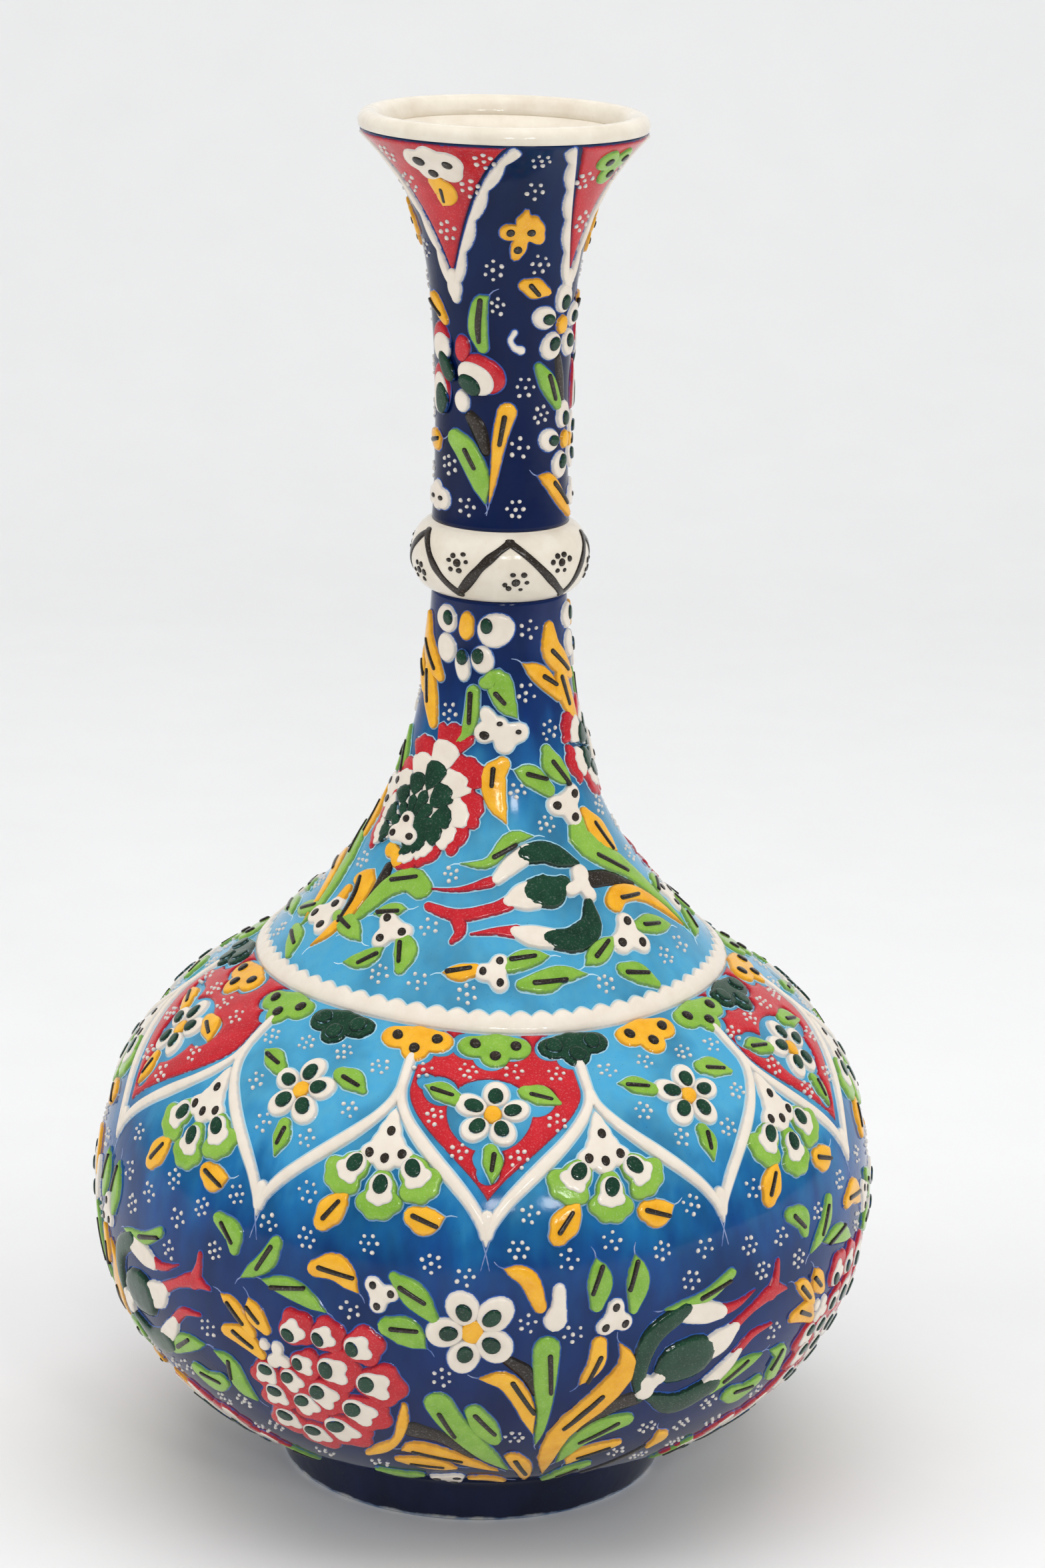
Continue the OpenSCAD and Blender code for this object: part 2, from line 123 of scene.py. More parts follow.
FOOT_LINE = [(FOOT_R, 0.0), (FOOT_TOP_R, FOOT_H)]
BELLY_LINE = [(belly_radius(z), z) for z in stations(FOOT_H, RIDGE_Z, 160)]
SHOULDER_LINE = [(shoulder_radius(z), z) for z in stations(RIDGE_Z, COLLAR_LO_Z, 110)]
COLLAR_LINE = [collar_point(math.radians(a)) for a in stations(-80, 80, 25)]
NECK_LINE = [(neck_radius(z), z) for z in stations(COLLAR_HI_Z, LIP_SEAT_Z, 110)]
LIP_EDGE = [(TRUMPET_R + 1.4, LIP_SEAT_Z + 1.4)]
OUTER = np.array(FOOT_LINE + BELLY_LINE + SHOULDER_LINE + COLLAR_LINE + NECK_LINE + LIP_EDGE)


RIDGE_MARK = 149
COLLAR_LO_MARK = 243
COLLAR_HI_MARK = 264
LIP_MARK = 351


def wall_marks():
    """Mark of every point of the outer line, from 0 at the foot to just past the lip's lower edge."""
    run = np.concatenate([[0.0], np.cumsum(np.linalg.norm(np.diff(OUTER, axis=0), axis=1))])
    ridge = len(FOOT_LINE) + len(BELLY_LINE) - 1
    collar_low = ridge + len(SHOULDER_LINE)
    collar_high = collar_low + len(COLLAR_LINE)
    lip = len(OUTER) - 2
    known = [run[i] for i in (0, ridge, collar_low, collar_high, lip, lip + 1)]
    return np.interp(run, known, [0, RIDGE_MARK, COLLAR_LO_MARK, COLLAR_HI_MARK, LIP_MARK, LIP_MARK + 2])


RUN = wall_marks()


def radius(mark):
    """Radius of the wall at a mark."""
    return np.interp(mark, RUN, OUTER[:, 0])


def outward(mark):
    """Radial and upward part of the wall's normal at a mark."""
    step = 0.6
    dr = np.interp(mark + step, RUN, OUTER[:, 0]) - np.interp(mark - step, RUN, OUTER[:, 0])
    dz = np.interp(mark + step, RUN, OUTER[:, 1]) - np.interp(mark - step, RUN, OUTER[:, 1])
    size = np.maximum(np.hypot(dr, dz), 1e-6)
    return dz / size, -dr / size


def handmade(az, r, z):
    """Small unevenness of a hand-thrown body: slightly oval, with a ridge that sags in front."""
    a = np.radians(az)
    size = 0.3 + 0.7 * r / BELLY_R
    swell = 0.20 * np.sin(2 * a + 0.8) + 0.12 * np.sin(3 * a + z / 31)
    swell = swell + 0.06 * np.sin(5 * a - z / 17) + 0.05 * np.sin(z / 4.3 + a)
    turned = (az - 14 + 180) % 360 - 180
    sag = -1.9 * np.exp(-(turned / 36) ** 2) * np.exp(-((z - RIDGE_Z) / 9) ** 2)
    return r + size * swell, z + sag


def lean(z):
    """Sideways wander of the hand-thrown axis: foot and mouth lie a little left of the shoulder."""
    u = z / 150 - 1
    return 0.5 + 0.35 * u - 1.8 * u * u


def wall_xyz(az, mark, height):
    """Points in millimetres at a height above the glaze."""
    nr, nz = outward(mark)
    r = np.interp(mark, RUN, OUTER[:, 0]) + nr * height
    z = np.interp(mark, RUN, OUTER[:, 1]) + nz * height
    r, z = handmade(az, r, z)
    a = np.radians(az)
    return np.stack([r * np.sin(a) + lean(z), -r * np.cos(a), z], axis=-1)


# ---- Batches: every piece gathers its deposits here before it becomes one mesh ----

class Batch:
    """The deposits of one piece: points, faces and two numbers per point for the material."""

    def __init__(self, name, slot, nodes):
        self.name = name
        self.slot = slot
        self.nodes = nodes
        self.points = []
        self.faces = []
        self.edge = []
        self.tone = []
        self.count = 0

    def add(self, xyz, faces, edge, tone):
        self.points.append(xyz)
        self.edge.append(edge)
        self.tone.append(np.full(len(xyz), tone))
        self.faces.extend([tuple(int(i) + self.count for i in f) for f in faces])
        self.count += len(xyz)


batches = {}
taken = []


def batch(name, slot, *nodes):
    """A new, empty piece with its material slot and the CAD nodes that it replaces."""
    batches[name] = Batch(name, slot, nodes)
    return batches[name]


FLANGE_H = 0.05
SKIRT_H = -0.45
LINE = 0.30


def crown(depth, height, shoulder):
    """Height of a raised deposit at a distance in from its edge: a round shoulder and a low dome."""
    t = np.clip(depth / shoulder, 0, 1)
    return height * (0.78 * np.sqrt(1 - (1 - t) ** 2) + 0.1 * np.clip(depth / 2.5, 0, 1))


def add_patch(out, flat, depth, height, faces, loop, origin, line, lift):
    """Puts a flat patch on the wall, with a thin outline round it, and closes it underneath.

    flat holds (right, up) millimetres round origin, depth the distance in from the outline,
    loop the outline's points in counterclockwise order."""
    tone = rng.random()
    az0, mark0 = origin
    ring = flat[loop]
    along = np.roll(ring, -1, axis=0) - np.roll(ring, 1, axis=0)
    normal = np.stack([along[:, 1], -along[:, 0]], axis=1)
    normal /= np.maximum(np.linalg.norm(normal, axis=1, keepdims=True), 1e-6)
    n = len(flat)
    m = len(loop)
    rings = [flat]
    depths = [depth]
    heights = [height + lift]
    steps = []
    if line > 0:
        steps.append((line, -line, lift + FLANGE_H * 0.5))
    steps.append((line + 0.05, -line - 0.05, lift + SKIRT_H))
    for out_by, d, h in steps:
        rings.append(ring + normal * out_by)
        depths.append(np.full(m, d))
        heights.append(np.full(m, h))
    flat_all = np.concatenate(rings)
    faces = list(faces)
    inner = list(loop)
    for k in range(len(steps)):
        outer = [n + k * m + i for i in range(m)]
        for i in range(m):
            j = (i + 1) % m
            faces.append((inner[i], outer[i], outer[j], inner[j]))
        inner = outer
    faces.append((inner[0], inner[m - 1], inner[1]))
    for i in range(1, m // 2 - 1):
        faces.append((inner[i], inner[m - i], inner[m - i - 1], inner[i + 1]))
    half = m // 2
    if m % 2 == 0:
        faces.append((inner[half - 1], inner[half + 1], inner[half]))
    mark = mark0 + flat_all[:, 1]
    az = az0 + np.degrees(flat_all[:, 0] / radius(mark))
    xyz = wall_xyz(az, mark, np.concatenate(heights))
    out.add(xyz, faces, np.concatenate(depths), tone)
    taken.append(xyz[:: 3])


def spline(points, t):
    """Catmull-Rom curve through the points at the parameters t, from 0 to 1."""
    p = np.asarray(points, float)
    p = p.reshape(len(p), -1)
    ends = np.concatenate([[2 * p[0] - p[1]], p, [2 * p[-1] - p[-2]]])
    x = np.asarray(t) * (len(p) - 1)
    i = np.minimum(x.astype(int), len(p) - 2)
    f = (x - i)[:, None]
    a, b, c, d = ends[i], ends[i + 1], ends[i + 2], ends[i + 3]
    return 0.5 * (2 * b + (c - a) * f + (2 * a - 5 * b + 4 * c - d) * f ** 2
                  + (3 * b - a - 3 * c + d) * f ** 3)


COLUMNS = np.array([-1, -0.93, -0.78, -0.45, 0, 0.45, 0.78, 0.93, 1])
FINE_COLUMNS = np.array([-1, -0.75, 0, 0.75, 1])
CAP_ANGLES = np.radians([84, 58, 30])


def to_flat(path, origin):
    """(Azimuth, mark) points as (right, up) millimetres round origin."""
    p = np.asarray(path, float)
    return np.stack([np.radians(p[:, 0] - origin[0]) * radius(p[:, 1]), p[:, 1] - origin[1]], axis=1)


def stroke(out, path, half, height=0.85, line=LINE, lift=0.0, rows=12, shoulder=0.6, columns=COLUMNS,
           flat=None, origin=None):
    """A brush stroke of enamel along a curve through (azimuth, mark) points.

    half gives the half width in millimetres at each point, or a pair of lists for the left and
    right side. With flat, the points are (right, up) millimetres round origin instead."""
    if flat is None:
        origin = tuple(np.mean(np.asarray(path, float), axis=0))
        flat = to_flat(path, origin)
    left, right = half if isinstance(half, tuple) else (half, half)
    t = np.linspace(0, 1, rows)
    centre = spline(flat, t)
    wl = np.maximum(spline(left, t)[:, 0], 0.06)
    wr = np.maximum(spline(right, t)[:, 0], 0.06)
    tangent = np.gradient(centre, axis=0)
    tangent /= np.linalg.norm(tangent, axis=1, keepdims=True)
    start = (wl[0] + wr[0]) / 2
    end = (wl[-1] + wr[-1]) / 2
    head = np.stack([centre[0] - tangent[0] * start * math.sin(a) for a in CAP_ANGLES])
    tail = np.stack([centre[-1] + tangent[-1] * end * math.sin(a) for a in CAP_ANGLES[::-1]])
    centre = np.concatenate([head, centre, tail])
    tangent = np.concatenate([np.repeat(tangent[:1], 3, axis=0), tangent,
                              np.repeat(tangent[-1:], 3, axis=0)])
    caps = np.cos(CAP_ANGLES)
    wl = np.concatenate([wl[0] * caps, wl, wl[-1] * caps[::-1]])
    wr = np.concatenate([wr[0] * caps, wr, wr[-1] * caps[::-1]])
    across = np.stack([-tangent[:, 1], tangent[:, 0]], axis=1)
    side = np.where(columns[None, :] > 0, wl[:, None], wr[:, None])
    points = centre[:, None, :] + across[:, None, :] * (columns[None, :] * side)[:, :, None]
    depth = (1 - np.abs(columns))[None, :] * side
    n, c = depth.shape
    widest = max(wl.max(), wr.max())
    rise = crown(depth, height, min(shoulder, 0.9 * widest)) + FLANGE_H
    grid = np.arange(n * c).reshape(n, c)
    faces = [(grid[i, j], grid[i + 1, j], grid[i + 1, j + 1], grid[i, j + 1])
             for i in range(n - 1) for j in range(c - 1)]
    mid = c // 2
    loop = ([grid[0, j] for j in range(mid, -1, -1)] + [grid[i, 0] for i in range(1, n)]
            + [grid[n - 1, j] for j in range(1, c)] + [grid[i, c - 1] for i in range(n - 2, -1, -1)]
            + [grid[0, j] for j in range(c - 2, mid, -1)])
    add_patch(out, points.reshape(-1, 2), depth.reshape(-1), rise.reshape(-1), faces, loop, origin,
              line, lift)


def turned(points, turn):
    """Points turned counterclockwise by turn degrees."""
    a = math.radians(turn)
    p = np.asarray(points, float)
    return np.stack([p[..., 0] * math.cos(a) - p[..., 1] * math.sin(a),
                     p[..., 0] * math.sin(a) + p[..., 1] * math.cos(a)], axis=-1)


def lobes(circles):
    """Outline made of overlapping circles (x, y, radius), seen from the middle."""
    def reach(angles):
        d = np.stack([np.cos(angles), np.sin(angles)], axis=1)
        best = np.full(len(angles), 0.3)
        for x, y, r in circles:
            b = d[:, 0] * x + d[:, 1] * y
            disc = b * b - (x * x + y * y) + r * r
            best = np.maximum(best, np.where(disc > 0, b + np.sqrt(np.maximum(disc, 0)), 0))
        return 0.6 * best + 0.2 * np.roll(best, 1) + 0.2 * np.roll(best, -1)
    return reach


def oval(a, b):
    """Outline of an ellipse with half sizes a and b."""
    def reach(angles):
        return a * b / np.sqrt((b * np.cos(angles)) ** 2 + (a * np.sin(angles)) ** 2)
    return reach


RINGS = np.array([0.4, 0.7, 0.86, 0.95, 1.0])


def blob(out, az, mark, outline, height=0.9, turn=0.0, shift=(0, 0), line=LINE, lift=0.0, segments=36,
         shoulder=0.7):
    """A drop of enamel whose outline is a distance from its middle at each angle."""
    theta = np.linspace(0, 2 * math.pi, segments, endpoint=False) - math.pi / 2
    reach = outline(theta)
    wobble = 1 + 0.03 * np.sin(2 * theta + rng.uniform(0, 6)) + 0.02 * np.sin(3 * theta + rng.uniform(0, 6))
    reach = reach * wobble
    unit = np.stack([np.cos(theta), np.sin(theta)], axis=1)
    flat = [np.zeros((1, 2))] + [unit * (reach * f)[:, None] for f in RINGS]
    depth = [np.array([reach.mean()])] + [reach * (1 - f) for f in RINGS]
    flat = turned(np.concatenate(flat), turn) + np.asarray(shift, float)
    depth = np.concatenate(depth)
    rise = crown(depth, height, min(shoulder, 0.9 * reach.mean())) + FLANGE_H
    faces = [(0, 1 + i, 1 + (i + 1) % segments) for i in range(segments)]
    for k in range(len(RINGS) - 1):
        a = 1 + k * segments
        b = a + segments
        faces += [(a + i, b + i, b + (i + 1) % segments, a + (i + 1) % segments) for i in range(segments)]
    last = 1 + (len(RINGS) - 1) * segments
    loop = list(range(last, last + segments))
    add_patch(out, flat, depth, rise, faces, loop, (az, mark), line, lift)


def field(out, origin, reach_u, reach_v, distance, height, cell):
    """A wide deposit given by its signed distance in from the outline, on a square grid.

    Grid points just outside are pulled onto the outline, so its edge is smooth."""
    us = np.arange(-reach_u, reach_u + cell, cell)
    vs = np.arange(-reach_v, reach_v + cell, cell)
    u, v = np.meshgrid(us, vs)
    step = 0.05
    for _ in range(2):
        d = distance(u, v)
        gu = (distance(u + step, v) - distance(u - step, v)) / (2 * step)
        gv = (distance(u, v + step) - distance(u, v - step)) / (2 * step)
        size = np.maximum(gu ** 2 + gv ** 2, 1e-3)
        near = (d < 0) & (d > -1.3 * cell)
        u = np.where(near, u - gu * d / size, u)
        v = np.where(near, v - gv * d / size, v)
        if _ == 0:
            keep = (d > -1e-6) | near
            inside = d > 0
    d = np.maximum(distance(u, v), 0)
    rows, cols = d.shape
    number = np.full(d.shape, -1)
    quads = []
    for i in range(rows - 1):
        for j in range(cols - 1):
            corners = [(i, j), (i, j + 1), (i + 1, j + 1), (i + 1, j)]
            if all(keep[c] for c in corners) and any(inside[c] for c in corners):
                quads.append(corners)
    used = sorted({c for q in quads for c in q})
    for k, c in enumerate(used):
        number[c] = k
    flat = np.array([[u[c], v[c]] for c in used])
    depth = np.array([d[c] for c in used])
    faces = [tuple(number[c] for c in q) for q in quads]
    rise = crown(depth, height, 0.7) + FLANGE_H
    n = len(flat)
    mark = origin[1] + flat[:, 1]
    az = origin[0] + np.degrees(flat[:, 0] / radius(mark))
    top = wall_xyz(az, mark, rise)
    under = wall_xyz(az, mark, np.full(n, SKIRT_H))
    edges = dict.fromkeys((a, b) for f in faces for a, b in zip(f, f[1:] + f[:1]))
    rim = [(a, b) for a, b in edges if (b, a) not in edges]
    sides = [(b, a, a + n, b + n) for a, b in rim]
    below = [tuple(i + n for i in reversed(f)) for f in faces]
    out.add(np.concatenate([top, under]), faces + sides + below, np.concatenate([depth, depth * 0]),
            rng.random())


DOT_H = 0.42
DOT_SIDES = 10


def dot(out, az, mark, r, lift):
    """A small round drop left by the nozzle."""
    n = DOT_SIDES
    theta = np.linspace(0, 2 * math.pi, n, endpoint=False)
    reach = r * (1 + 0.12 * np.sin(theta + rng.uniform(0, 6)) + 0.06 * np.sin(2 * theta + rng.uniform(0,
                                                                                                      6)))
    unit = np.stack([np.cos(theta), np.sin(theta)], axis=1)
    flat = np.concatenate([np.zeros((1, 2)), unit * (0.6 * reach)[:, None], unit * reach[:, None]])
    depth = np.concatenate([[r], 0.4 * reach, 0 * reach])
    rise = np.concatenate([[DOT_H], np.full(n, 0.82 * DOT_H), np.full(n, FLANGE_H)])
    faces = [(0, 1 + i, 1 + (i + 1) % n) for i in range(n)]
    faces += [(1 + i, 1 + n + i, 1 + n + (i + 1) % n, 1 + (i + 1) % n) for i in range(n)]
    add_patch(out, flat, depth, rise, faces, list(range(1 + n, 1 + 2 * n)), (az, mark), 0.0, lift)


# ---- The pieces that the deposits are gathered in ----

band = batch("scallop_band_enamel", "cream_enamel", "scallop_band")
borders = batch("petal_border_lines", "cream_enamel", "petal_borders")
red_grounds = batch("red_petal_grounds", "red_enamel", "red_petal_fields")
blossoms = batch("petal_blossom_enamel", "cream_enamel", "petal_blossoms")
hearts = batch("blossom_heart_drops", "yellow_enamel", "blossom_hearts")
petal_leaves = batch("petal_leaf_enamel", "lime_enamel", "petal_leaves")
cones = batch("notch_cone_enamel", "cream_enamel", "notch_cones")
sepals = batch("notch_sepal_enamel", "lime_enamel", "notch_sepals")
notch_leaves = batch("notch_leaf_enamel", "yellow_enamel", "notch_leaves")
trefoils_lime = batch("hanging_trefoils_lime", "lime_enamel", "trefoils_green")
trefoils_dark = batch("hanging_trefoils_dark", "dark_green_enamel", "trefoils_dark")
trefoils_yellow = batch("hanging_trefoils_yellow", "yellow_enamel", "trefoils_yellow")
bulbs = batch("tulip_bulb_enamel", "dark_green_enamel", "tulip_bulbs")
bands = batch("tulip_band_enamel", "cream_enamel", "tulip_bands")
tips = batch("tulip_tip_enamel", "red_enamel", "tulip_tips")
carnation_red = batch("carnation_petal_enamel", "red_enamel", "carnation_petals_red")
carnation_cream = batch("carnation_core_enamel", "cream_enamel", "carnation_cores")
bouquet_cream = batch("bouquet_blossom_enamel", "cream_enamel", "bouquet_blossoms")
bouquet_lime = batch("bouquet_leaf_lime", "lime_enamel", "bouquet_leaves_green")
bouquet_yellow = batch("bouquet_leaf_yellow", "yellow_enamel", "bouquet_leaves_yellow")
neck_cream = batch("neck_blossom_enamel", "cream_enamel", "neck_blossoms")
neck_lime = batch("neck_leaf_lime", "lime_enamel", "neck_leaves_green")
neck_yellow = batch("neck_leaf_yellow", "yellow_enamel", "neck_leaves_yellow")
zigzag = batch("collar_zigzag_line", "black_enamel", "collar_zigzag")
pennant_red = batch("pennant_grounds", "red_enamel", "pennant_fields")
pennant_cream = batch("pennant_border_lines", "cream_enamel", "pennant_borders")
beads = batch("dark_green_beads", "dark_green_enamel")
marks = batch("black_brush_marks", "black_enamel")
sprigs = batch("cream_sprig_enamel", "cream_enamel")
white_dots = batch("white_dot_drops", "cream_enamel")
halos = batch("blossom_ground_glaze", "turquoise_glaze")


# ---- Motifs ----

def shifted(path, az):
    """The path moved round the vase by az degrees."""
    return [(a + az, m) for a, m in path]


BRUSH_HALF = 0.62
POINTED = 0.62


def brush_mark(path):
    """A black stroke painted over a leaf."""
    widths = [BRUSH_HALF * 0.9] + [BRUSH_HALF * 1.1] * (len(path) - 2) + [BRUSH_HALF * 0.75]
    stroke(marks, path, widths, 0.3, line=0.0, lift=0.8, rows=6, shoulder=0.3, columns=FINE_COLUMNS)


def stem(path, az, half, height=0.35):
    """A black stem or shadow stroke on the ground."""
    stroke(marks, shifted(path, az), half, height)


def strokes(out, rows, az, height, **more):
    """Brush strokes of one colour, each row a path and its half widths."""
    for path, half in rows:
        stroke(out, shifted(path, az), half, height, **more)


def leaf(out, path, half, vein=None, az=0.0, height=0.85):
    """A leaf with a full outline, a black stroke on it and a thin glaze line curling off each pointed end."""
    path = shifted(path, az)
    rows = 12
    widest = max(half)
    full = spline(half, np.linspace(0, 1, rows))[:, 0]
    full = 1.12 * widest * (np.maximum(full, 0.05) / widest) ** 0.72
    if half[-1] < POINTED:
        full[-2:] *= (0.72, 0.22)
    if half[0] < POINTED:
        full[:2] *= (0.22, 0.72)
    stroke(out, path, list(full), height, rows=rows)
    for end, before in ((-1, -2), (0, 1)):
        if half[end] < POINTED:
            curl_from(path[end], path[before])
    if vein:
        brush_mark(shifted(vein, az))


def leaves(out, rows, az):
    """Leaves of one colour, each row a path, its half widths and its black stroke."""
    for path, half, vein in rows:
        leaf(out, path, half, vein, az)


CURL_LENGTH = 2.6
CURL_HALF = 0.13


def curl_from(tip, before):
    """A thin line of glaze that runs on from a leaf's tip and bends a little."""
    origin = tuple(tip)
    way = -to_flat([before], origin)[0]
    way /= max(np.linalg.norm(way), 1e-6)
    bend = np.array([-way[1], way[0]]) * rng.choice([-0.5, 0.5])
    flat = np.array([way * 0.1, way * CURL_LENGTH * 0.55, way * CURL_LENGTH + bend])
    stroke(halos, None, [CURL_HALF, CURL_HALF, 0.5 * CURL_HALF], 0.02, line=0.0, rows=5,
           columns=FINE_COLUMNS, flat=flat, origin=origin)


def drop_at(out, az, mark, shape, turn=0.0, x=0.0, y=0.0, **more):
    """A drop whose middle is (x, y) millimetres from a point, in axes turned by turn."""
    shift = turned((x, y), turn)
    blob(out, az, mark, shape, turn=turn, shift=shift, **more)


def black_dot(az, mark, wide, tall, turn, x, y, lift=0.8, height=0.3, segments=12, shoulder=0.4):
    """A black dot painted on a drop of enamel."""
    drop_at(marks, az, mark, oval(wide, tall), turn, x, y, height=height, line=0.0, lift=lift,
            segments=segments, shoulder=shoulder)


def blossom(out, az, mark, ring=4.8, petal=2.9, turn=90.0, eye=0.6):
    """Five round cream petals with dark beads round a yellow heart."""
    for i in range(5):
        a = turn + 72 * i + rng.uniform(-4, 4)
        r = ring * rng.uniform(0.95, 1.05)
        x = r * math.cos(math.radians(a))
        y = r * math.sin(math.radians(a))
        size = petal * rng.uniform(0.94, 1.06)
        blob(out, az, mark, oval(size * 1.1, size * 0.94), 0.95, a, (x, y), segments=28)
        inset = 0.86
        blob(beads, az, mark, oval(size * eye * 1.12, size * eye * 0.9), 0.55, a,
             (x * inset, y * inset), line=0.0, lift=0.85, segments=16, shoulder=0.6)
    blob(hearts, az, mark, oval(petal * 0.68, petal * 0.74), 0.95, segments=20)


def sprig(az, mark, size=1.0, turn=0.0, lift=0.0):
    """A small cream trefoil with a black dot on each lobe."""
    places = [(-2.4, 0.9), (2.3, 1.2), (0.1, -2.5)]
    circles = [(x * size, y * size, 1.9 * size) for x, y in places] + [(0, 0, 2.5 * size)]
    drop_at(sprigs, az, mark, lobes(circles), turn, lift=lift)
    for x, y in places:
        black_dot(az, mark, 0.95 * size, 0.8 * size, turn, x * size, y * size, 0.75 + lift)


def cluster(az, mark, count=7, spread=1.8, lift=0.0, r=0.46):
    """White dots in a loose ring round one in the middle."""
    spin = rng.uniform(0, 360)
    places = [(0, 0)] + [(spread, spin + 360 * i / (count - 1)) for i in range(count - 1)]
    for reach, angle in places:
        reach *= rng.uniform(0.85, 1.12)
        angle = math.radians(angle + rng.uniform(-9, 9))
        up = reach * math.sin(angle)
        turn = math.degrees(reach * math.cos(angle) / radius(mark + up))
        dot(white_dots, az + turn, mark + up, r * rng.uniform(0.82, 1.15), lift)


# ---- The ridge band and the ogee petals ----

def ring_faces(count, n):
    """Faces between count rings of n points each, with the last ring joined to the first."""
    faces = []
    for k in range(count):
        here = k * n
        there = ((k + 1) % count) * n
        for i in range(n):
            j = (i + 1) % n
            faces.append((here + i, here + j, there + j, there + i))
    return faces


BAND_LO = 149.4
BAND_HI = 153.4
SCALLOPS = 70


BAND_H = 0.75
SCALLOP_DEPTH = 1.1
BAND_SIDES = 840


def ring_band(out):
    """The raised ridge band all the way round, with a scalloped upper edge, closed underneath."""
    n = BAND_SIDES
    az = np.linspace(0, 360, n, endpoint=False)
    low = BAND_LO * np.ones_like(az)
    upper = BAND_HI + SCALLOP_DEPTH * np.abs(np.sin(np.radians(az) * SCALLOPS / 2))
    fractions = [0.0, 0.05, 0.16, 0.36, 0.64, 0.84, 0.95, 1.0]
    rise = [0.0, 0.55, 0.85, 1.0, 1.0, 0.85, 0.55, 0.0]
    lines = [(low, SKIRT_H, -0.5), (low - LINE, FLANGE_H / 2, -LINE)]
    for f, h in zip(fractions, rise):
        lines.append((low + (upper - low) * f, BAND_H * h + FLANGE_H, min(f, 1 - f) * (BAND_HI - BAND_LO)))
    lines += [(upper + LINE, FLANGE_H / 2, -LINE), (upper, SKIRT_H, -0.5)]
    xyz = np.concatenate([wall_xyz(az, mark, np.full(n, height)) for mark, height, _ in lines])
    edge = np.concatenate([np.full(n, depth) for _, _, depth in lines])
    out.add(xyz, ring_faces(len(lines), n), edge, 0.5)
    taken.append(xyz[:: 5])


PETAL_TIPS = [0.5, 36.5, 69, 105, 142, 178.5, 215, 251.5, 288, 326]
PETAL_STEMS = [18.5, 53.5, 87, 124, 160, 197, 233, 270, 309.5, 344.5]
TIP_MARK = 100.0
TOP_MARK = 133.0
STEM_TOP = 140.5
TREFOIL_MARK = 145.0
CONE_MARK = 118.6
YELLOW_LEAF_PETAL = 8


def ease(x):
    """Smooth step from 0 to 1."""
    t = min(1.0, max(0.0, x))
    return t * t * (3 - 2 * t)


def petal_sides(k):
    """Azimuths of the stems left and right of petal k, near its tip's azimuth."""
    tip = PETAL_TIPS[k]
    left = PETAL_STEMS[k - 1] - (360 if k == 0 else 0)
    return left, tip, PETAL_STEMS[k]


def ogee_path(tip, stem):
    """A petal's side: an S curve from its tip up to the stem beside it."""
    rise = TOP_MARK - TIP_MARK
    return [(tip + (stem - tip) * ease(m / rise), TIP_MARK + m) for m in stations(0, rise, 9)]


def petal_border(k):
    """The two sides of a petal, the stem right of it, its drop at the tip and the glaze tails under it."""
    left, tip, right = petal_sides(k)
    for stem in (left, right):
        path = ogee_path(tip, stem)
        side = 1 if stem > tip else -1
        path[0] = (path[0][0] + side * 0.2, path[0][1] + 1.6)
        half = [0.9, 1.1, 1.2, 1.3, 1.35, 1.3, 1.2, 1.05, 0.9]
        wobbly = [h * rng.uniform(0.92, 1.08) for h in half]
        stroke(borders, path, wobbly, 1.0, rows=36, shoulder=1.0)
    stroke(borders, [(right, 129.5), (right + rng.uniform(-0.4, 0.4), 135), (right, STEM_TOP)],
           [1.0, 1.05, 1.1], 1.0, rows=10, shoulder=1.0)
    stroke(borders, [(tip, 105.4), (tip, 102.4), (tip, 99.6)], [1.5, 1.2, 0.15], 1.0, rows=8, shoulder=1.0)
    for side in (-1, 1):
        tail = [(tip - side * 0.5, 100.6), (tip + side * 0.1, 97.6), (tip + side * 0.6, 94.6)]
        stroke(halos, tail, [0.15, 0.13, 0.08], 0.02, line=0.0, rows=5, columns=FINE_COLUMNS)


def trefoil_shape(grow=0.0):
    """Circles of a hanging trefoil, all larger by grow."""
    side = 3.0 + grow
    top = 1.9 + grow
    return [(0, -2.5, side), (-4.6, 0.3, side), (4.6, 0.3, side), (-2.4, 2.0, top), (2.4, 2.0, top),
            (0, 1.4, side)]


def outside_circles(u, v, circles):
    """Distance out of the nearest circle, negative inside one."""
    best = np.full(u.shape, 99.0)
    for x, y, r in circles:
        best = np.minimum(best, np.hypot(u - x, v - y) - r)
    return best


RED_GAP = 1.75
RED_WINDOW = [(0, 1.5, 8.8), (-10.2, 6.5, 3.7), (-13, 8.4, 2.2), (9.8, 4.6, 3.9), (0, -8.6, 3.2),
              (0, -11.6, 2.4)]


def red_ground(k):
    """The red of a petal, open round its blossom and leaves and under the hanging trefoils."""
    left, tip, right = petal_sides(k)
    origin = (tip, 126.0)
    window = list(RED_WINDOW)
    for az in (left, right, tip):
        x = math.radians(az - tip) * float(radius(TREFOIL_MARK))
        y = TREFOIL_MARK - origin[1]
        window += [(x + cx, y + cy, r) for cx, cy, r in trefoil_shape(0.7)]

    def distance(u, v):
        mark = origin[1] + v
        r = radius(mark)
        rise = TOP_MARK - TIP_MARK - 3.2
        t = np.clip((mark - TIP_MARK - 3.2) / rise, 0, 1)
        shape = t * t * (3 - 2 * t)
        slope = 6 * t * (1 - t) / rise
        best = np.full(u.shape, 99.0)
        for stem, side in ((left, -1), (right, 1)):
            wide = math.radians(abs(stem - tip)) * r
            edge = wide * shape
            slant = np.sqrt(1 + (wide * slope) ** 2)
            best = np.minimum(best, (edge - side * u) / slant - RED_GAP)
        best = np.minimum(best, RIDGE_MARK - mark)
        return np.minimum(best, outside_circles(u, v, window))

    field(red_grounds, origin, 24, 27, distance, 0.5, 0.6)


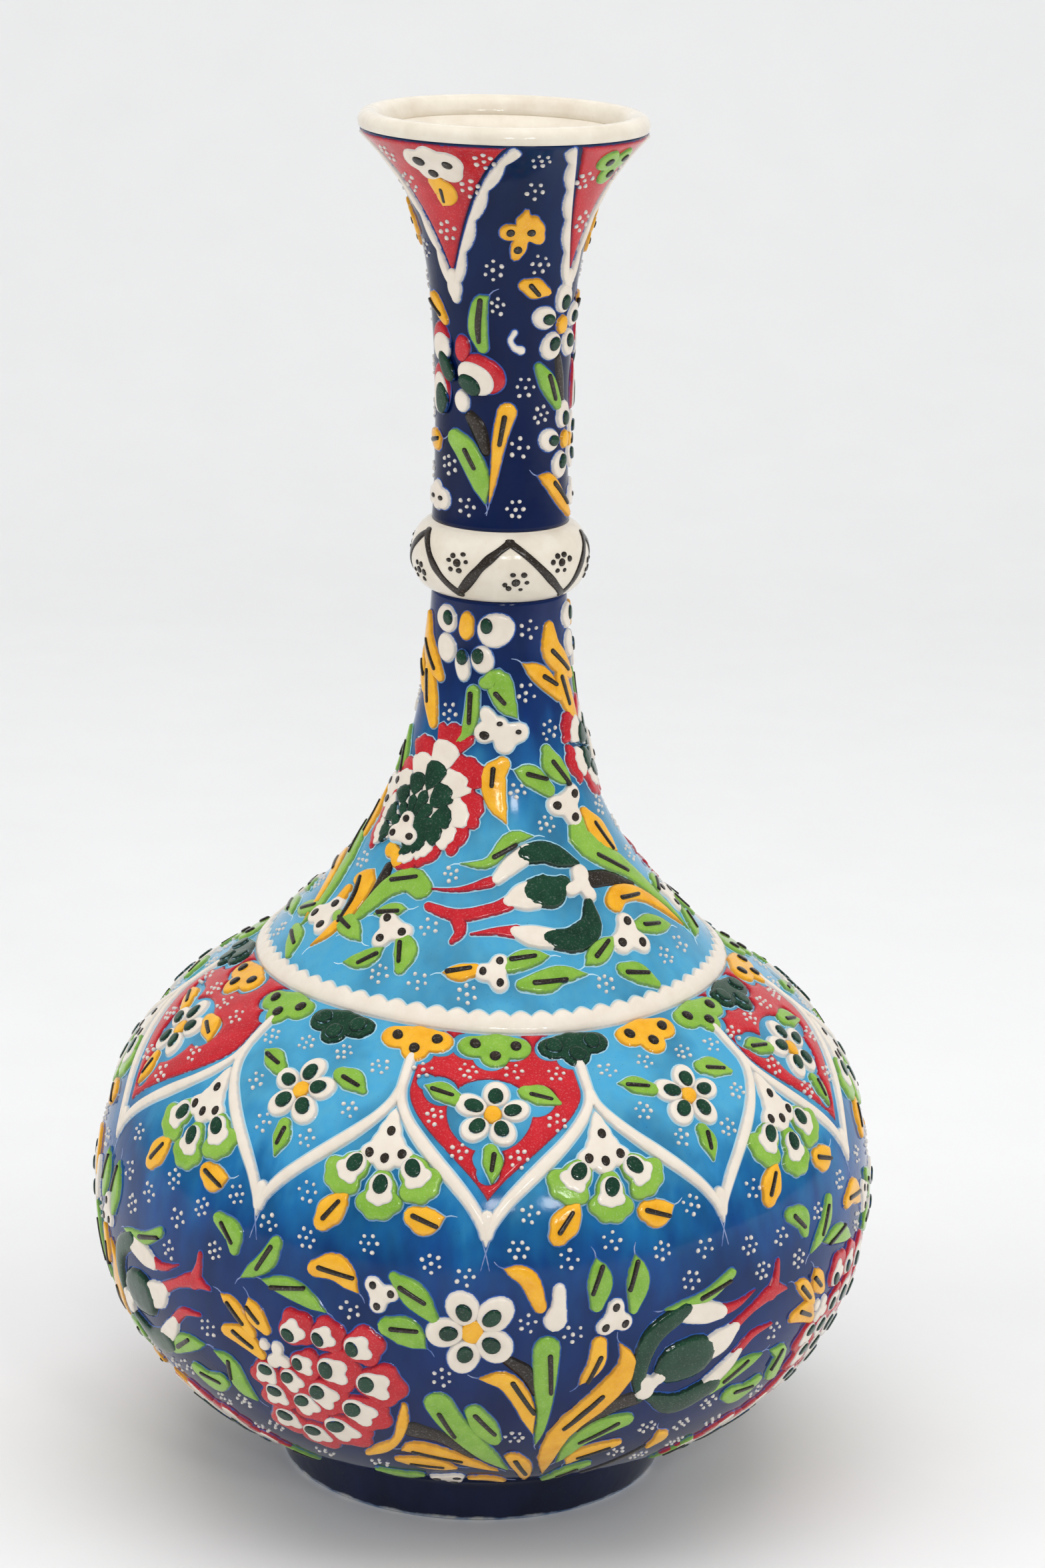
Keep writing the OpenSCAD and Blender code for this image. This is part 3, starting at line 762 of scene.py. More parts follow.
def petal_contents(k):
    """A blossom, three leaves and white dots in a petal."""
    tip = PETAL_TIPS[k]
    mid = tip + rng.uniform(-0.6, 0.6)
    blossom(blossoms, mid, 127.3, turn=rng.uniform(76, 100))
    out = notch_leaves if k == YELLOW_LEAF_PETAL else petal_leaves
    for path, half, vein in [
        ([(-12.2, 133.4), (-9.6, 132.6), (-6.6, 130.6)], [0.3, 2.3, 1.7], [(-10.8, 132.6), (-7.2, 131.4)]),
        ([(6.2, 132.8), (8.6, 132.0), (11.4, 129.8)], [2.0, 2.7, 0.8], [(6.9, 132.2), (10.2, 130.8)]),
        ([(-0.2, 119.0), (0.2, 116.2), (0.1, 112.6)], [1.6, 2.1, 0.3], [(0.3, 118.2), (0, 115.0)]),
    ]:
        stroke(out, shifted(path, mid), half, 0.9)
        brush_mark(shifted(vein, mid))
    lift = 0.45 if k % 2 == 0 else 0.0
    places = [(-13, 137.2), (-4.5, 138.2), (5, 138.2), (13, 137.2), (-9.4, 126.3), (10.8, 125.3),
              (-4.2, 118.6), (5.2, 117.8)]
    for x, mark in places:
        if k % 2 == 0 and abs(x) < 5 and mark > 130:
            x *= 0.9
        cluster(tip + x + rng.uniform(-0.5, 0.5), mark + rng.uniform(-0.4, 0.4), rng.choice([6, 7]),
                1.7, lift, 0.45)


CONE = [(-3.6, -2, 2.2), (0, -3.2, 2.3), (3.6, -2, 2.2), (0, 0, 3.7), (0, 3.4, 2.4), (0, 6, 1.4),
        (0, 8, 0.7),
        (0, 9.2, 0.35)]
SEPAL_GREEN = [(0, 1.2, 3.2), (-3, -1.8, 2), (3, -1.8, 2), (0, -1, 3), (0, 3.2, 2.2), (-1.1, -3.6, 1.8),
               (1.4, -3.6, 1.8)]
SEPAL_WHITE = [(0, 1.6, 2.5), (-1.7, -0.7, 1.3), (1.7, -0.7, 1.3), (0, -1.3, 1.3), (0, 0, 2)]


def notch(k):
    """Cream cone, three lime petals and two yellow leaves in the notch right of petal k."""
    az = PETAL_STEMS[k] + rng.uniform(-0.4, 0.4)
    drop_at(cones, az, CONE_MARK, lobes(CONE), height=0.9, segments=48)
    for x, y in [(-3.4, -1.8), (0, -2.6), (3.4, -1.4), (0.2, 3.2)]:
        black_dot(az, CONE_MARK, 0.95, 1.1, 0, x, y, 0.75)
    for x, mark, turn in [(-7.2, 112.6, -40), (7.3, 112.8, 40), (0.2, 108.6, 0)]:
        centre = az + math.degrees(x / radius(mark))
        turn += rng.uniform(-6, 6)
        drop_at(sepals, centre, mark, lobes(SEPAL_GREEN), turn, segments=44)
        drop_at(cones, centre, mark, lobes(SEPAL_WHITE), turn, 0, 0.2, height=0.35, line=0.0, lift=0.75,
                segments=28, shoulder=0.5)
        drop_at(beads, centre, mark, oval(1.6, 2.1), turn + rng.uniform(-10, 10), 0, 2.0, height=0.5,
                line=0.0,
                lift=0.95, segments=18, shoulder=0.7)
    leaves(notch_leaves, [
        ([(-7.8, 101.6), (-6.8, 104.0), (-4.6, 108.2)], [1.7, 2.7, 0.4], [(-7.7, 102.2), (-5.8, 106.0)]),
        ([(5.6, 104.8), (7.2, 104.2), (9.8, 105.2)], [1.8, 2.7, 0.4], [(5.4, 105.0), (8.8, 103.2)]),
    ], az)


def hanging_trefoils():
    """Lime, dark green and yellow trefoils by turns, hanging from the ridge band."""
    colours = [trefoils_lime, trefoils_dark, trefoils_yellow]
    for k in range(10):
        spots = [(2 * k, PETAL_TIPS[k] + (1.0 if k == 0 else 0)), (2 * k + 1, PETAL_STEMS[k])]
        for index, az in spots:
            count = index if az < 180 else index - 20
            out = colours[count % 3]
            dark = out is trefoils_dark
            eye = 1.85 if dark else 1.15
            turn = rng.uniform(-4, 4)
            drop_at(out, az, TREFOIL_MARK - 0.1, lobes(trefoil_shape()), turn, segments=48, height=0.8)
            for x, y in [(-4.2, 0.6), (4.2, 0.6), (0, -2.4)]:
                drop_at(beads if dark else marks, az, TREFOIL_MARK, oval(eye, eye * 1.12), turn, x, y,
                        height=0.4, line=0.0, lift=0.85, segments=16, shoulder=0.6)


def petal_band():
    """The ridge band, and ten petals that are red and blue by turns."""
    ring_band(band)
    hanging_trefoils()
    for k in range(10):
        petal_border(k)
        if k % 2 == 0:
            red_ground(k)
        petal_contents(k)
        notch(k)


# ---- Tulips and carnations ----

def belly_tulip(az):
    """Tulip lying to the right on the belly, its hub at azimuth 25."""
    green = [
        ([(24.4, 62.5), (23.4, 70), (24.8, 78), (29.4, 82.6)], [0.9, 1.9, 2.5, 2.1]),
        ([(29.3, 70.4), (31.8, 71)], [5.2, 5.4]),
        ([(26.2, 62.2), (31, 58.8), (36.4, 61.6)], [1.2, 3.2, 2.9]),
    ]
    cream = [
        ([(30.2, 81.8), (33.4, 81), (35.6, 80.4)], [2.4, 2.6, 1.8]),
        ([(33.4, 71.5), (36.4, 73.4), (38.4, 75.6)], [3, 3.2, 1.7]),
        ([(36.2, 62.8), (38.8, 66.6), (40.2, 69.2)], [2.4, 2, 1.2]),
    ]
    red = [
        ([(34.8, 80.6), (38.4, 80.8), (42, 83)], [1.6, 1, 0.15]),
        ([(37.4, 75), (41.4, 78.6), (45.6, 81.2), (48.6, 80.6)], [1.6, 1.1, 1.8, 0.5]),
        ([(45.6, 81), (46.4, 84.6), (46.6, 87.6)], [1.9, 1, 0.6]),
        ([(39.8, 68.8), (42.6, 72.4), (46.2, 73.4)], [1.3, 1.1, 0.5]),
    ]
    strokes(tips, red, az, 0.75)
    strokes(bands, cream, az, 0.95)
    strokes(bulbs, green, az, 1.1, shoulder=1.1)
    hub = lobes([(-1, -2.2, 2.2), (-1.4, 0.6, 1.7), (2, 1.4, 1.8), (0.4, 0, 1.8)])
    drop_at(sprigs, az + 25.4, 66.4, hub, height=1.15)


def carnation_petal(az, mark, away, size):
    """One petal: notched red, notched cream on it, and a dark bead at its root."""
    s = size
    red = [(-0.6, 0, 2.6 * s), (s, 2 * s, 1.7 * s), (2.2 * s, 0, 1.9 * s), (s, -2 * s, 1.7 * s)]
    cream = [(-0.6 * s, 0, 1.9 * s), (0.9 * s, 1.0 * s, 1.05 * s), (0.9 * s, -1.1 * s, 1.05 * s)]
    drop_at(carnation_red, az, mark, lobes(red), away, height=0.8, segments=32)
    drop_at(carnation_cream, az, mark, lobes(cream), away, -0.2, 0, height=0.4, line=0.0, lift=0.65,
            segments=26,
            shoulder=0.6)
    drop_at(beads, az, mark, oval(1.05 * s, 1.35 * s), away, -1.3 * s, 0, height=0.5, line=0.0, lift=0.95,
            segments=16, shoulder=0.6)


def belly_carnation(az):
    """Carnation lying on the belly left of the bouquet, with its hub, leaves and stem."""
    hub = (-31.5, 70)
    heads = [(-26.4, 77.2, 0.95), (-21.6, 77.2, 0.9), (-16.4, 76, 1), (-25, 69.4, 0.85),
             (-20.2, 69.4, 1.15), (-14.2, 67.2, 1.2), (-31.8, 64.2, 0.95), (-27.2, 64.2, 0.95),
             (-22.2, 62, 1.15), (-30.8, 58.6, 1), (-25.6, 58, 1.05), (-16.8, 58.8, 1.25),
             (-30.4, 51, 1.1), (-25.8, 47.6, 1.15), (-20.6, 51.4, 1.3)]
    for a, m, size in heads:
        right = math.radians(a - hub[0]) * radius(m)
        away = math.degrees(math.atan2(m - hub[1], right))
        carnation_petal(az + a, m, away, size * 1.36)
    drop_at(sprigs, az - 29.4, 69.8, lobes([(0, 2, 1.5), (1.6, -1.2, 1.6), (-1.2, -1.6, 1.7), (0, 0, 1.5)]))
    drop_at(sprigs, az - 31.6, 71.8, oval(1.3, 1.5))
    leaves(bouquet_yellow, [
        ([(-34, 81.6), (-32.9, 78.4), (-31.2, 75.6)], [0.5, 2.2, 1], [(-34.1, 79.6), (-32.2, 77)]),
        ([(-38.2, 72.4), (-35, 72), (-32.4, 69)], [1.2, 2.4, 0.9], [(-36.8, 73), (-33.6, 70.6)]),
    ], az)
    stroke(bouquet_yellow,
           shifted([(-10.4, 62.4), (-10.6, 57), (-12.2, 50.6), (-14.6, 46), (-17.8, 42.6)], az),
           ([0.7, 1, 1.1, 1.3, 1], [0.5, 1.5, 0.9, 2, 0.9]), 0.85, rows=18)
    stem([(-9.4, 54.6), (-4.6, 52), (-0.4, 45)], az, [2.4, 1.6, 0.8], 0.3)


def bouquet(az):
    """Long leaves that rise from one root at the foot."""
    lime = [
        ([(9.4, 77.6), (9.5, 70), (9.9, 60), (9.6, 50.6)], [2.5, 2.1, 0.9, 0.5], [(9.9, 76), (10.5, 67)]),
        ([(-5.4, 63.6), (-3.6, 58.6), (0.4, 50), (6.2, 38.2)], [2.7, 2.6, 2.2, 0.5],
         [(-5.2, 61), (-3, 54)]),
        ([(-0.2, 61.6), (1.4, 57), (3, 52.6)], [1.6, 2.5, 1.2], [(0, 61), (3, 55.2)]),
        ([(22.8, 56.2), (19.2, 54.6), (16, 49.6), (14.4, 41)], [1.8, 2.8, 1.7, 0.3],
         [(21.8, 56), (16.6, 50.6)]),
        ([(20.2, 37.6), (18, 35), (15, 27.6)], [1.3, 2.1, 0.7], [(19, 36), (16.6, 31.4)]),
    ]
    yellow = [
        ([(0.4, 70.6), (4, 70), (6.8, 64), (8.8, 54.6)], [0.6, 1.9, 1.8, 0.4], [(5, 69.8), (8.4, 61.6)]),
        ([(16.8, 77.8), (16.6, 73), (14.6, 68.4)], [1.5, 1.7, 0.5], [(17.1, 74.8), (15.7, 69.2)]),
        ([(19.8, 77.4), (21.4, 72), (18.4, 64.4), (13.4, 55.4), (12.2, 45), (13.2, 33.4)],
         [0.4, 1.9, 2.8, 2.4, 1.5, 0.4], [(18.2, 64.8), (15.6, 60.2), (13.4, 56.2)]),
        ([(23.2, 47.6), (19.8, 46), (17.4, 44), (16.4, 39.6)], [1.1, 2.3, 1.9, 0.4],
         [(22.2, 46.6), (17.6, 43.6)]),
        ([(6.4, 45.4), (8, 41.4), (9.4, 36), (10.6, 28.6)], [1.4, 2, 1.4, 0.5], [(7, 44), (9.7, 35.6)]),
        ([(-11.6, 46.4), (-8.6, 48), (-3, 44.6), (4.6, 37.4)], [0.6, 2.3, 1.8, 0.4],
         [(-9.6, 46.8), (-2, 43.6)]),
        ([(-12.2, 41.4), (-7.4, 40.6), (-2.8, 38.6)], [1, 2.9, 0.6], [(-10.4, 40.4), (-5.2, 39.8)]),
        ([(0.4, 31.2), (3.4, 31), (7, 27.4)], [1.1, 1.5, 0.3], None),
        ([(30.6, 49.6), (32.2, 46), (31.2, 42.6)], [0.4, 1.7, 0.7], None),
    ]
    leaves(bouquet_lime, lime, az)
    leaves(bouquet_yellow, yellow, az)
    stem([(4, 75.2), (7, 71.6), (8.4, 66.4)], az, [0.9, 1.4, 0.5], 0.28)
    stem([(24, 62.6), (20, 60.6), (16.2, 54.2)], az, [1.9, 1.9, 0.8], 0.28)
    stem([(30.8, 42.4), (27, 35), (23, 28.6)], az, [0.8, 1.2, 0.9], 0.28)


def sprays_between(az):
    """Leaves, sprigs and buds in the row between the petals' tips and the flowers."""
    lime = [
        ([(-12, 92.2), (-9, 88.6), (-6.2, 84)], [0.7, 2.5, 0.7], [(-11, 90.2), (-7.6, 87.4)]),
        ([(-12.4, 81.4), (-10, 80.6), (-7.2, 77.4)], [1.8, 2.9, 0.5], [(-12, 81.2), (-8.5, 81.2)]),
        ([(-31.8, 86.6), (-26.6, 86), (-21.6, 82.6)], [0.4, 2.1, 0.4], [(-30, 85.6), (-25, 87)]),
        ([(16, 96.4), (16.6, 91.4), (16.2, 86.6)], [0.3, 2.4, 1.1], [(16.8, 94.6), (15.5, 89.2)]),
        ([(21.8, 96.2), (22.2, 90.6), (21.6, 84.8)], [0.4, 2.3, 0.7], [(22, 94.8), (20.9, 89.2)]),
        ([(26.4, 83.4), (33, 84.6), (37.4, 88.2)], [0.4, 1.3, 1], [(32.2, 84.6), (37, 86.8)]),
        ([(-41.8, 65.6), (-38.6, 63.6), (-37.9, 58), (-35.6, 54.4)], [0.4, 1.6, 2.3, 0.4],
         [(-38.9, 64.4), (-39.4, 59.6)]),
        ([(37.4, 59.8), (41.4, 64), (46.2, 66)], [0.8, 2.1, 0.3], [(39.2, 62), (42.8, 65.8)]),
        ([(42.2, 56.6), (45, 55), (47.8, 57)], [1.8, 2.7, 1.6], [(43.2, 56.8), (47.2, 56.4)]),
        ([(-18, 31.2), (-14, 29.6), (-10.4, 31.2)], [0.8, 2.4, 1.2], None),
        ([(49.6, 96.4), (52.4, 94.6), (53, 91.4)], [1.2, 2.3, 1], [(50.4, 95.8), (52.6, 92.6)]),
        ([(60, 95), (58.6, 90.6), (54.6, 85.8)], [1.2, 1.9, 0.4], [(59.4, 94), (57.4, 88.8)]),
    ]
    yellow = [
        ([(-23.4, 91.6), (-20.2, 92.4), (-17, 88)], [1.4, 2.6, 0.4], [(-22.8, 92), (-17.8, 91)]),
        ([(3.2, 95), (6.4, 93), (8.2, 87)], [0.5, 1.8, 1.1], None),
        ([(51, 80.6), (53.4, 78.6), (56.4, 73.8)], [0.4, 1.6, 0.9], [(52.4, 79.2), (55, 75.6)]),
    ]
    leaves(bouquet_lime, lime, az)
    leaves(bouquet_yellow, yellow, az)
    sprig(az - 13.8, 88.2, 0.95, 100)
    sprig(az + 18.8, 83.2, 1, 60)
    stroke(sprigs, shifted([(10.4, 84), (10.8, 87), (10.8, 90.4)], az), [2.5, 1.6, 1.3], 0.95)
    sprig(az - 4.4, 30.2, 1, 20)
    blossom(bouquet_cream, az - 0.9, 81.6, 5.7, 3.7, 112, eye=0.5)


def low_carnation(az):
    """Open carnation near the foot: long striped petals that fan upwards from its hub."""
    fan = [(-46, 15.5), (-22, 18.5), (2, 20), (26, 18.5), (50, 15.5)]
    root = (az, 21)
    for angle, reach in fan:
        a = math.radians(90 - angle)
        d = np.array([math.cos(a), math.sin(a)])
        flat = np.array([d * (5 + reach * f) for f in (0, 0.45, 0.8, 1)])
        for side in (-1, 0, 1):
            tip = flat[-1] + np.array([-d[1], d[0]]) * side * 3.0 + d * (0.4 if side == 0 else -1.4)
            drop_at(carnation_red, root[0], root[1], oval(2.4, 2.2), 0, tip[0], tip[1], height=0.75,
                    segments=22)
        stroke(carnation_cream, None, [1.6, 2.9, 3, 2.2], 0.9, flat=flat, origin=root)
        stroke(beads, None, [0.9, 1.5, 0.9], 0.4, line=0.0, lift=0.8, flat=flat[:3] * 0.95, origin=root)
    sprig(az, 22, 1.15, 180)
    leaves(bouquet_lime, [
        ([(-15.5, 26), (-13, 32), (-13.4, 38)], [0.5, 2.6, 0.7], [(-13.6, 29), (-13.1, 35)]),
        ([(17.5, 20), (18, 25), (16, 31)], [0.6, 2.4, 0.7], [(17.8, 22.6), (17.2, 28.6)]),
    ], az)


BELLY_CLUSTERS = [
    (-8, 66), (-4.5, 72), (-18, 84), (-28, 82.6), (-36.8, 77), (-42.4, 71), (-35, 46.4), (-28, 36.4),
    (-17, 36.6), (4, 65), (6.2, 53.2), (12.8, 65), (13, 80.4), (24.2, 83.4), (38.4, 55.4), (29.2, 53),
    (25, 42.4), (-42, 55.6), (-1, 95), (-7, 95.6), (-33.2, 94), (-25.4, 97.4), (-16, 98.4), (12, 96.6),
    (26, 96.4), (33, 95), (41, 93), (5, 99), (18.4, 99.6), (43, 104.6), (-38.2, 102.4), (6.6, 106),
    (-26.4, 106.8), (31.4, 104.6)
]


def lower_belly():
    """Four turns of the tulip, carnation and bouquet, with a low carnation between each."""
    for az in (0, 90, 180, 270):
        belly_tulip(az)
        belly_carnation(az)
        bouquet(az)
        sprays_between(az)
    for az in (56, 146, 236, 304):
        low_carnation(az)


# ---- Shoulder and lower neck ----

def shoulder_tulip(az):
    """Tulip lying to the left on the shoulder, its hub at azimuth 37 from az."""
    red = [
        ([(-30, 180), (-14, 180.6), (-1, 182.8)], [0.12, 0.55, 1.3]),
        ([(-23.4, 176), (-12, 174.8), (0, 176.6), (6, 178)], [1.1, 1.5, 1.5, 1.8]),
        ([(-12.4, 174.6), (-10.4, 171.2), (-12.4, 168.8)], [1.6, 1.3, 0.7]),
        ([(-6.6, 170.8), (1, 171.6), (8, 171.6)], [0.3, 0.9, 1.6]),
    ]
    cream = [
        ([(1.6, 183.4), (8, 186.6), (15.4, 189)], [1.2, 2, 2.2]),
        ([(6.4, 178.4), (11, 179.2), (16.4, 179.8)], [1.5, 3, 3.4]),
        ([(8.2, 171.4), (13.4, 170.4), (20.6, 169.4)], [1.5, 2.5, 2.3]),
    ]
    green = [
        ([(15.6, 188.8), (23.6, 189), (31, 187.4), (38.4, 185.6)], [2.3, 2.5, 2.3, 0.8]),
        ([(18.4, 180.2), (23.6, 180.4), (28.8, 181.6)], [3.6, 3.9, 2]),
        ([(20, 169.4), (27, 168.8), (34.6, 171.2), (37.4, 176.4)], [2.4, 3, 2.8, 1.2]),
    ]
    strokes(tips, red, az, 0.7)
    strokes(bands, cream, az, 0.9)
    strokes(bulbs, green, az, 1.05, shoulder=1.1)
    hub = lobes([(0.6, 2.4, 2.2), (-3.2, -0.9, 1.7), (1, -2.6, 1.7), (0, 0, 2.2)])
    drop_at(sprigs, az + 37.2, 180.8, hub, height=1.1)
    stem([(43.6, 181.4), (53, 180.6), (65.6, 177.2)], az, [1.8, 1.6, 0.6])
    leaf(neck_lime, [(48.6, 194.2), (46, 190.6), (56, 185.6), (68, 180.4), (77.4, 169), (78, 161)],
         [1, 3, 2.9, 2.1, 0.9, 0.2], [(52, 186), (66, 180.2)], az)
    leaves(neck_yellow, [
        ([(48.4, 174.8), (54, 176.4), (64, 174.8), (72.4, 169.6), (77, 163)], [1.9, 2.1, 1.6, 1, 0.2],
         [(53, 175.4), (63, 174.6)]),
        ([(55.2, 195.4), (61, 190.4), (68.4, 185)], [1, 3.2, 0.5], [(59.4, 192.6), (64.6, 186)]),
    ], az)
    leaf(neck_lime, [(-14.6, 186.4), (-2, 187), (8, 192.2), (19.6, 192.6)],
         [0.2, 0.9, 1.4, 0.3], [(0.4, 188.2), (10.2, 190.8)], az)


def shoulder_sprays(az):
    """Sprigs and leaves between the tulip and the ridge."""
    sprig(az + 1.2, 162.4, 1, -92)
    leaves(neck_lime, [
        ([(5.4, 164), (10.4, 165.4), (17.4, 165.8)], [1.4, 1.9, 0.4], [(6, 165.2), (13, 165.8)]),
        ([(8.6, 159.8), (15, 160.4), (20, 161.6), (27.6, 161)], [0.9, 2.2, 1.6, 0.2],
         [(12, 160), (20.8, 160.2)]),
    ], az)
    leaf(neck_yellow, [(-13.4, 161.6), (-8.6, 162), (-4.6, 162.8)],
         [0.3, 1.7, 1.2], [(-12, 161.8), (-5.8, 163)], az)
    sprig(az + 47.2, 167, 1.3, 40)
    leaves(neck_lime, [
        ([(28, 163), (34, 165.2), (41.4, 167.8)], [0.3, 2.1, 0.4], [(32, 164.2), (38, 167)]),
        ([(54, 168.2), (61, 167.4), (69.6, 165)], [1.2, 2.3, 0.3], [(56, 168), (63, 166.8)]),
        ([(39.4, 160.2), (43.6, 158.6), (47.2, 155.4)], [1.4, 2.3, 0.7], [(39.6, 159.4), (46, 158)]),
    ], az)
    sprig(az - 33.8, 169.2, 1.15, -30)
    leaves(neck_lime, [
        ([(-43.4, 171.6), (-37.4, 173.6), (-31.6, 174.6)], [0.3, 1.5, 0.5],
         [(-41.6, 172.2), (-34.2, 173.6)]),
        ([(-33.6, 164.8), (-37.4, 161.4), (-43.6, 159.2)], [0.6, 2, 0.3], [(-34.4, 163), (-38.4, 160)]),
        ([(-29.4, 168.6), (-26, 165), (-25.6, 161)], [1, 2.4, 0.9],
         [(-28.6, 166.6), (-26.6, 162.4)]),
    ], az)


def notched_petal(out, az, mark, way, near, far, half, height, line, lift):
    """A petal layer from near to far millimetres along way, ending in small round teeth."""
    side = np.array([-way[1], way[0]])
    middle = way * (near + far) * 0.5
    circles = [(way * (near + (far - near) * f), half * (0.45 + 0.5 * f)) for f in (0, 0.35, 0.7)]
    for across, back in ((-0.98, 0.34), (-0.38, 0.02), (0.28, 0), (0.92, 0.26)):
        spot = way * (far - half * (0.24 + back)) + side * half * across
        circles.append((spot, half * 0.32))
    outline = lobes([(p[0] - middle[0], p[1] - middle[1], r) for p, r in circles])
    blob(out, az, mark, outline, height, 0, middle, line=line, lift=lift, segments=44, shoulder=0.55)


def fan_carnation(az, mark, petals, turn=0.0):
    """Carnation seen from the side: petals fan from a cream hub, dark green, cream and red outwards."""
    for angle, reach, wide in petals:
        a = math.radians(90 - angle + turn)
        way = np.array([math.cos(a), math.sin(a)])
        notched_petal(carnation_red, az, mark, way, 0.4 * reach, reach, wide, 0.75, LINE, 0)
        notched_petal(carnation_cream, az, mark, way, 0.2 * reach, 0.84 * reach, 0.78 * wide, 0.35, 0, 0.6)
        notched_petal(bulbs, az, mark, way, 0.14 * reach, 0.64 * reach, 0.6 * wide, 0.5, 0, 0.8)
    sprig(az, mark, 1.05, 180, lift=0.9)


def round_carnation(az, mark):
    """Carnation of the upper neck: thick round petals of red, then cream, then dark green at its hub."""
    red = [(-6.4, 12.6, 3.2, 3.4, 20), (0.2, 11.2, 1.9, 3, 0), (5, 6.2, 4.8, 3.7, -38),
           (-6.9, 1.8, 3.3, 5.6, 0)]
    cream = [(-5.8, 10.8, 3.1, 3.1, 20), (3.3, 5.2, 4.3, 3.1, -38), (-6.6, 0.8, 2.8, 4.4, 0)]
    green = [(-4, 6.9, 1.7, 3.5, 32), (2.1, 3.8, 2.8, 1.9, -42), (-5.7, -0.2, 2.1, 3.4, 0)]
    layers = [(carnation_red, red, 0.75, LINE, 0, 34), (carnation_cream, cream, 0.4, 0, 0.6, 30),
              (bulbs, green, 0.5, 0, 0.85, 26)]
    for out, petals, height, line, lift, segments in layers:
        for x, y, wide, tall, turn in petals:
            blob(out, az, mark, oval(wide, tall), height, turn, (x, y), line, lift, segments)
    blob(sprigs, az, mark, oval(1.9, 2.4), 1, segments=22)


def lower_neck(az):
    """Flowers and leaves between the collar and the shoulder's tulip."""
    petals = [(-105, 13, 3.4), (-69, 13.5, 3.6), (-32, 17, 3.8), (-6, 21, 3.8), (13, 26, 4.2),
              (34, 21, 4.4), (60, 17.6, 4.2), (83, 14.6, 3.8), (112, 10.4, 3.2), (145, 9, 2.8)]
    fan_carnation(-47.5 + az, 191, petals)
    drop_at(neck_yellow, az - 48.6, 185.8, lobes([(-1.6, 0.4, 1.9), (1.9, -0.8, 2.2), (0, 0, 1.6)]))
    stem([(-49, 182.4), (-48.6, 178), (-50.2, 171)], az, [1.1, 1.4, 0.4])
    leaf(neck_lime, [(-28.6, 179.6), (-35, 181.2), (-43, 178.4), (-47.6, 173), (-51, 166.4)],
         [2, 2.6, 2.2, 1.4, 0.2], [(-42.8, 180), (-32.4, 182)], az)
    leaves(neck_yellow, [
        ([(-60.6, 177.6), (-56, 178.2), (-54.4, 171), (-56.6, 164), (-59.4, 159.6)],
         [1.5, 2.2, 1.7, 0.9, 0.2],
         [(-60, 177.8), (-56.6, 173.6), (-55.2, 167.2)]),
        ([(-63.4, 174), (-63.2, 170.4), (-63.2, 166.6)], [1.3, 1.5, 0.3], None),
    ], az)


def collar_flower(az):
    """Open flower, leaves and cream cloud right under the collar."""
    centre = (-27 + az, 237.4)
    for x, y, w, h, bx, by in [(6.4, -0.4, 4.1, 3.6, -1.9, 0.9), (-5.4, 0.8, 3, 3, 0.9, 0.4),
                               (-5, -5.4, 2.6, 3.2, None, 0), (-0.5, -8.6, 1.8, 3.4, 0, 1.8),
                               (3.9, -6.9, 2.5, 2.9, -0.9, 0.8)]:
        blob(neck_cream, centre[0], centre[1], oval(w, h), 0.9, 8, (x, y), segments=30)
        if bx is not None:
            blob(beads, centre[0], centre[1], oval(1.3, 1.7), 0.5, 0, (x + bx, y + by), line=0.0, lift=0.75,
                 segments=16, shoulder=0.6)
    blob(hearts, centre[0], centre[1], oval(1.9, 3.1), 0.9, segments=24)
    leaves(neck_lime, [
        ([(-18.4, 223.4), (-18.8, 218), (-22, 214), (-29.6, 211.8)], [1.3, 1.5, 1, 0.2],
         [(-20, 223), (-19.4, 216.8)]),
        ([(-9, 225.6), (0, 226), (6, 221.6), (14.6, 218.2)], [1, 2.5, 1.9, 0.3],
         [(-1.2, 223.4), (5, 221.4)]),
    ], az)
    cloud = lobes([(-2.6, 3.2, 1.6), (-3, -0.8, 2.3), (1.4, -3, 2.2), (4.6, -0.6, 2.3), (0, 0, 2.6)])
    drop_at(sprigs, az + 1, 215.8, cloud, segments=44)
    for x, y, r in [(-2.8, -1.4, 1.1), (0.3, 1.2, 0.65), (4.2, -0.6, 0.65)]:
        black_dot(az + 1, 215.8, r, r * 0.85, 0, x, y)
    leaf(neck_yellow, [(4, 208.2), (-1.4, 205.6), (0.4, 200.6), (6.2, 195.6)],
         [1.3, 2.5, 1.9, 0.2], [(-1.6, 207.2), (-2.2, 203.6)], az)
    leaves(neck_lime, [
        ([(12, 207), (22, 205.6), (32.6, 202.2)], [0.3, 2.1, 1.2], [(20, 206), (31.6, 204.6)]),
        ([(35, 210.6), (39, 207), (50.4, 202.6)], [0.9, 2.4, 0.6], [(38, 208), (48, 202.6)]),
    ], az)
    sprig(az + 43.6, 198.2, 1.2, 14)
    leaves(neck_yellow, [
        ([(44.6, 236.8), (47, 232), (58, 228.6), (72, 225.4)], [1.1, 2.5, 2.5, 0.8],
         [(46, 231.8), (65.6, 226.8)]),
        ([(19.6, 229.8), (36, 226.6), (52, 221.6)], [0.2, 1.9, 0.8], [(37, 226.6), (48.4, 224.4)]),
        ([(-69.6, 229.4), (-62, 222.4), (-50.8, 215.4)], [0.4, 2.4, 1], [(-66.6, 225.6), (-59.8, 219.4)]),
    ], az)


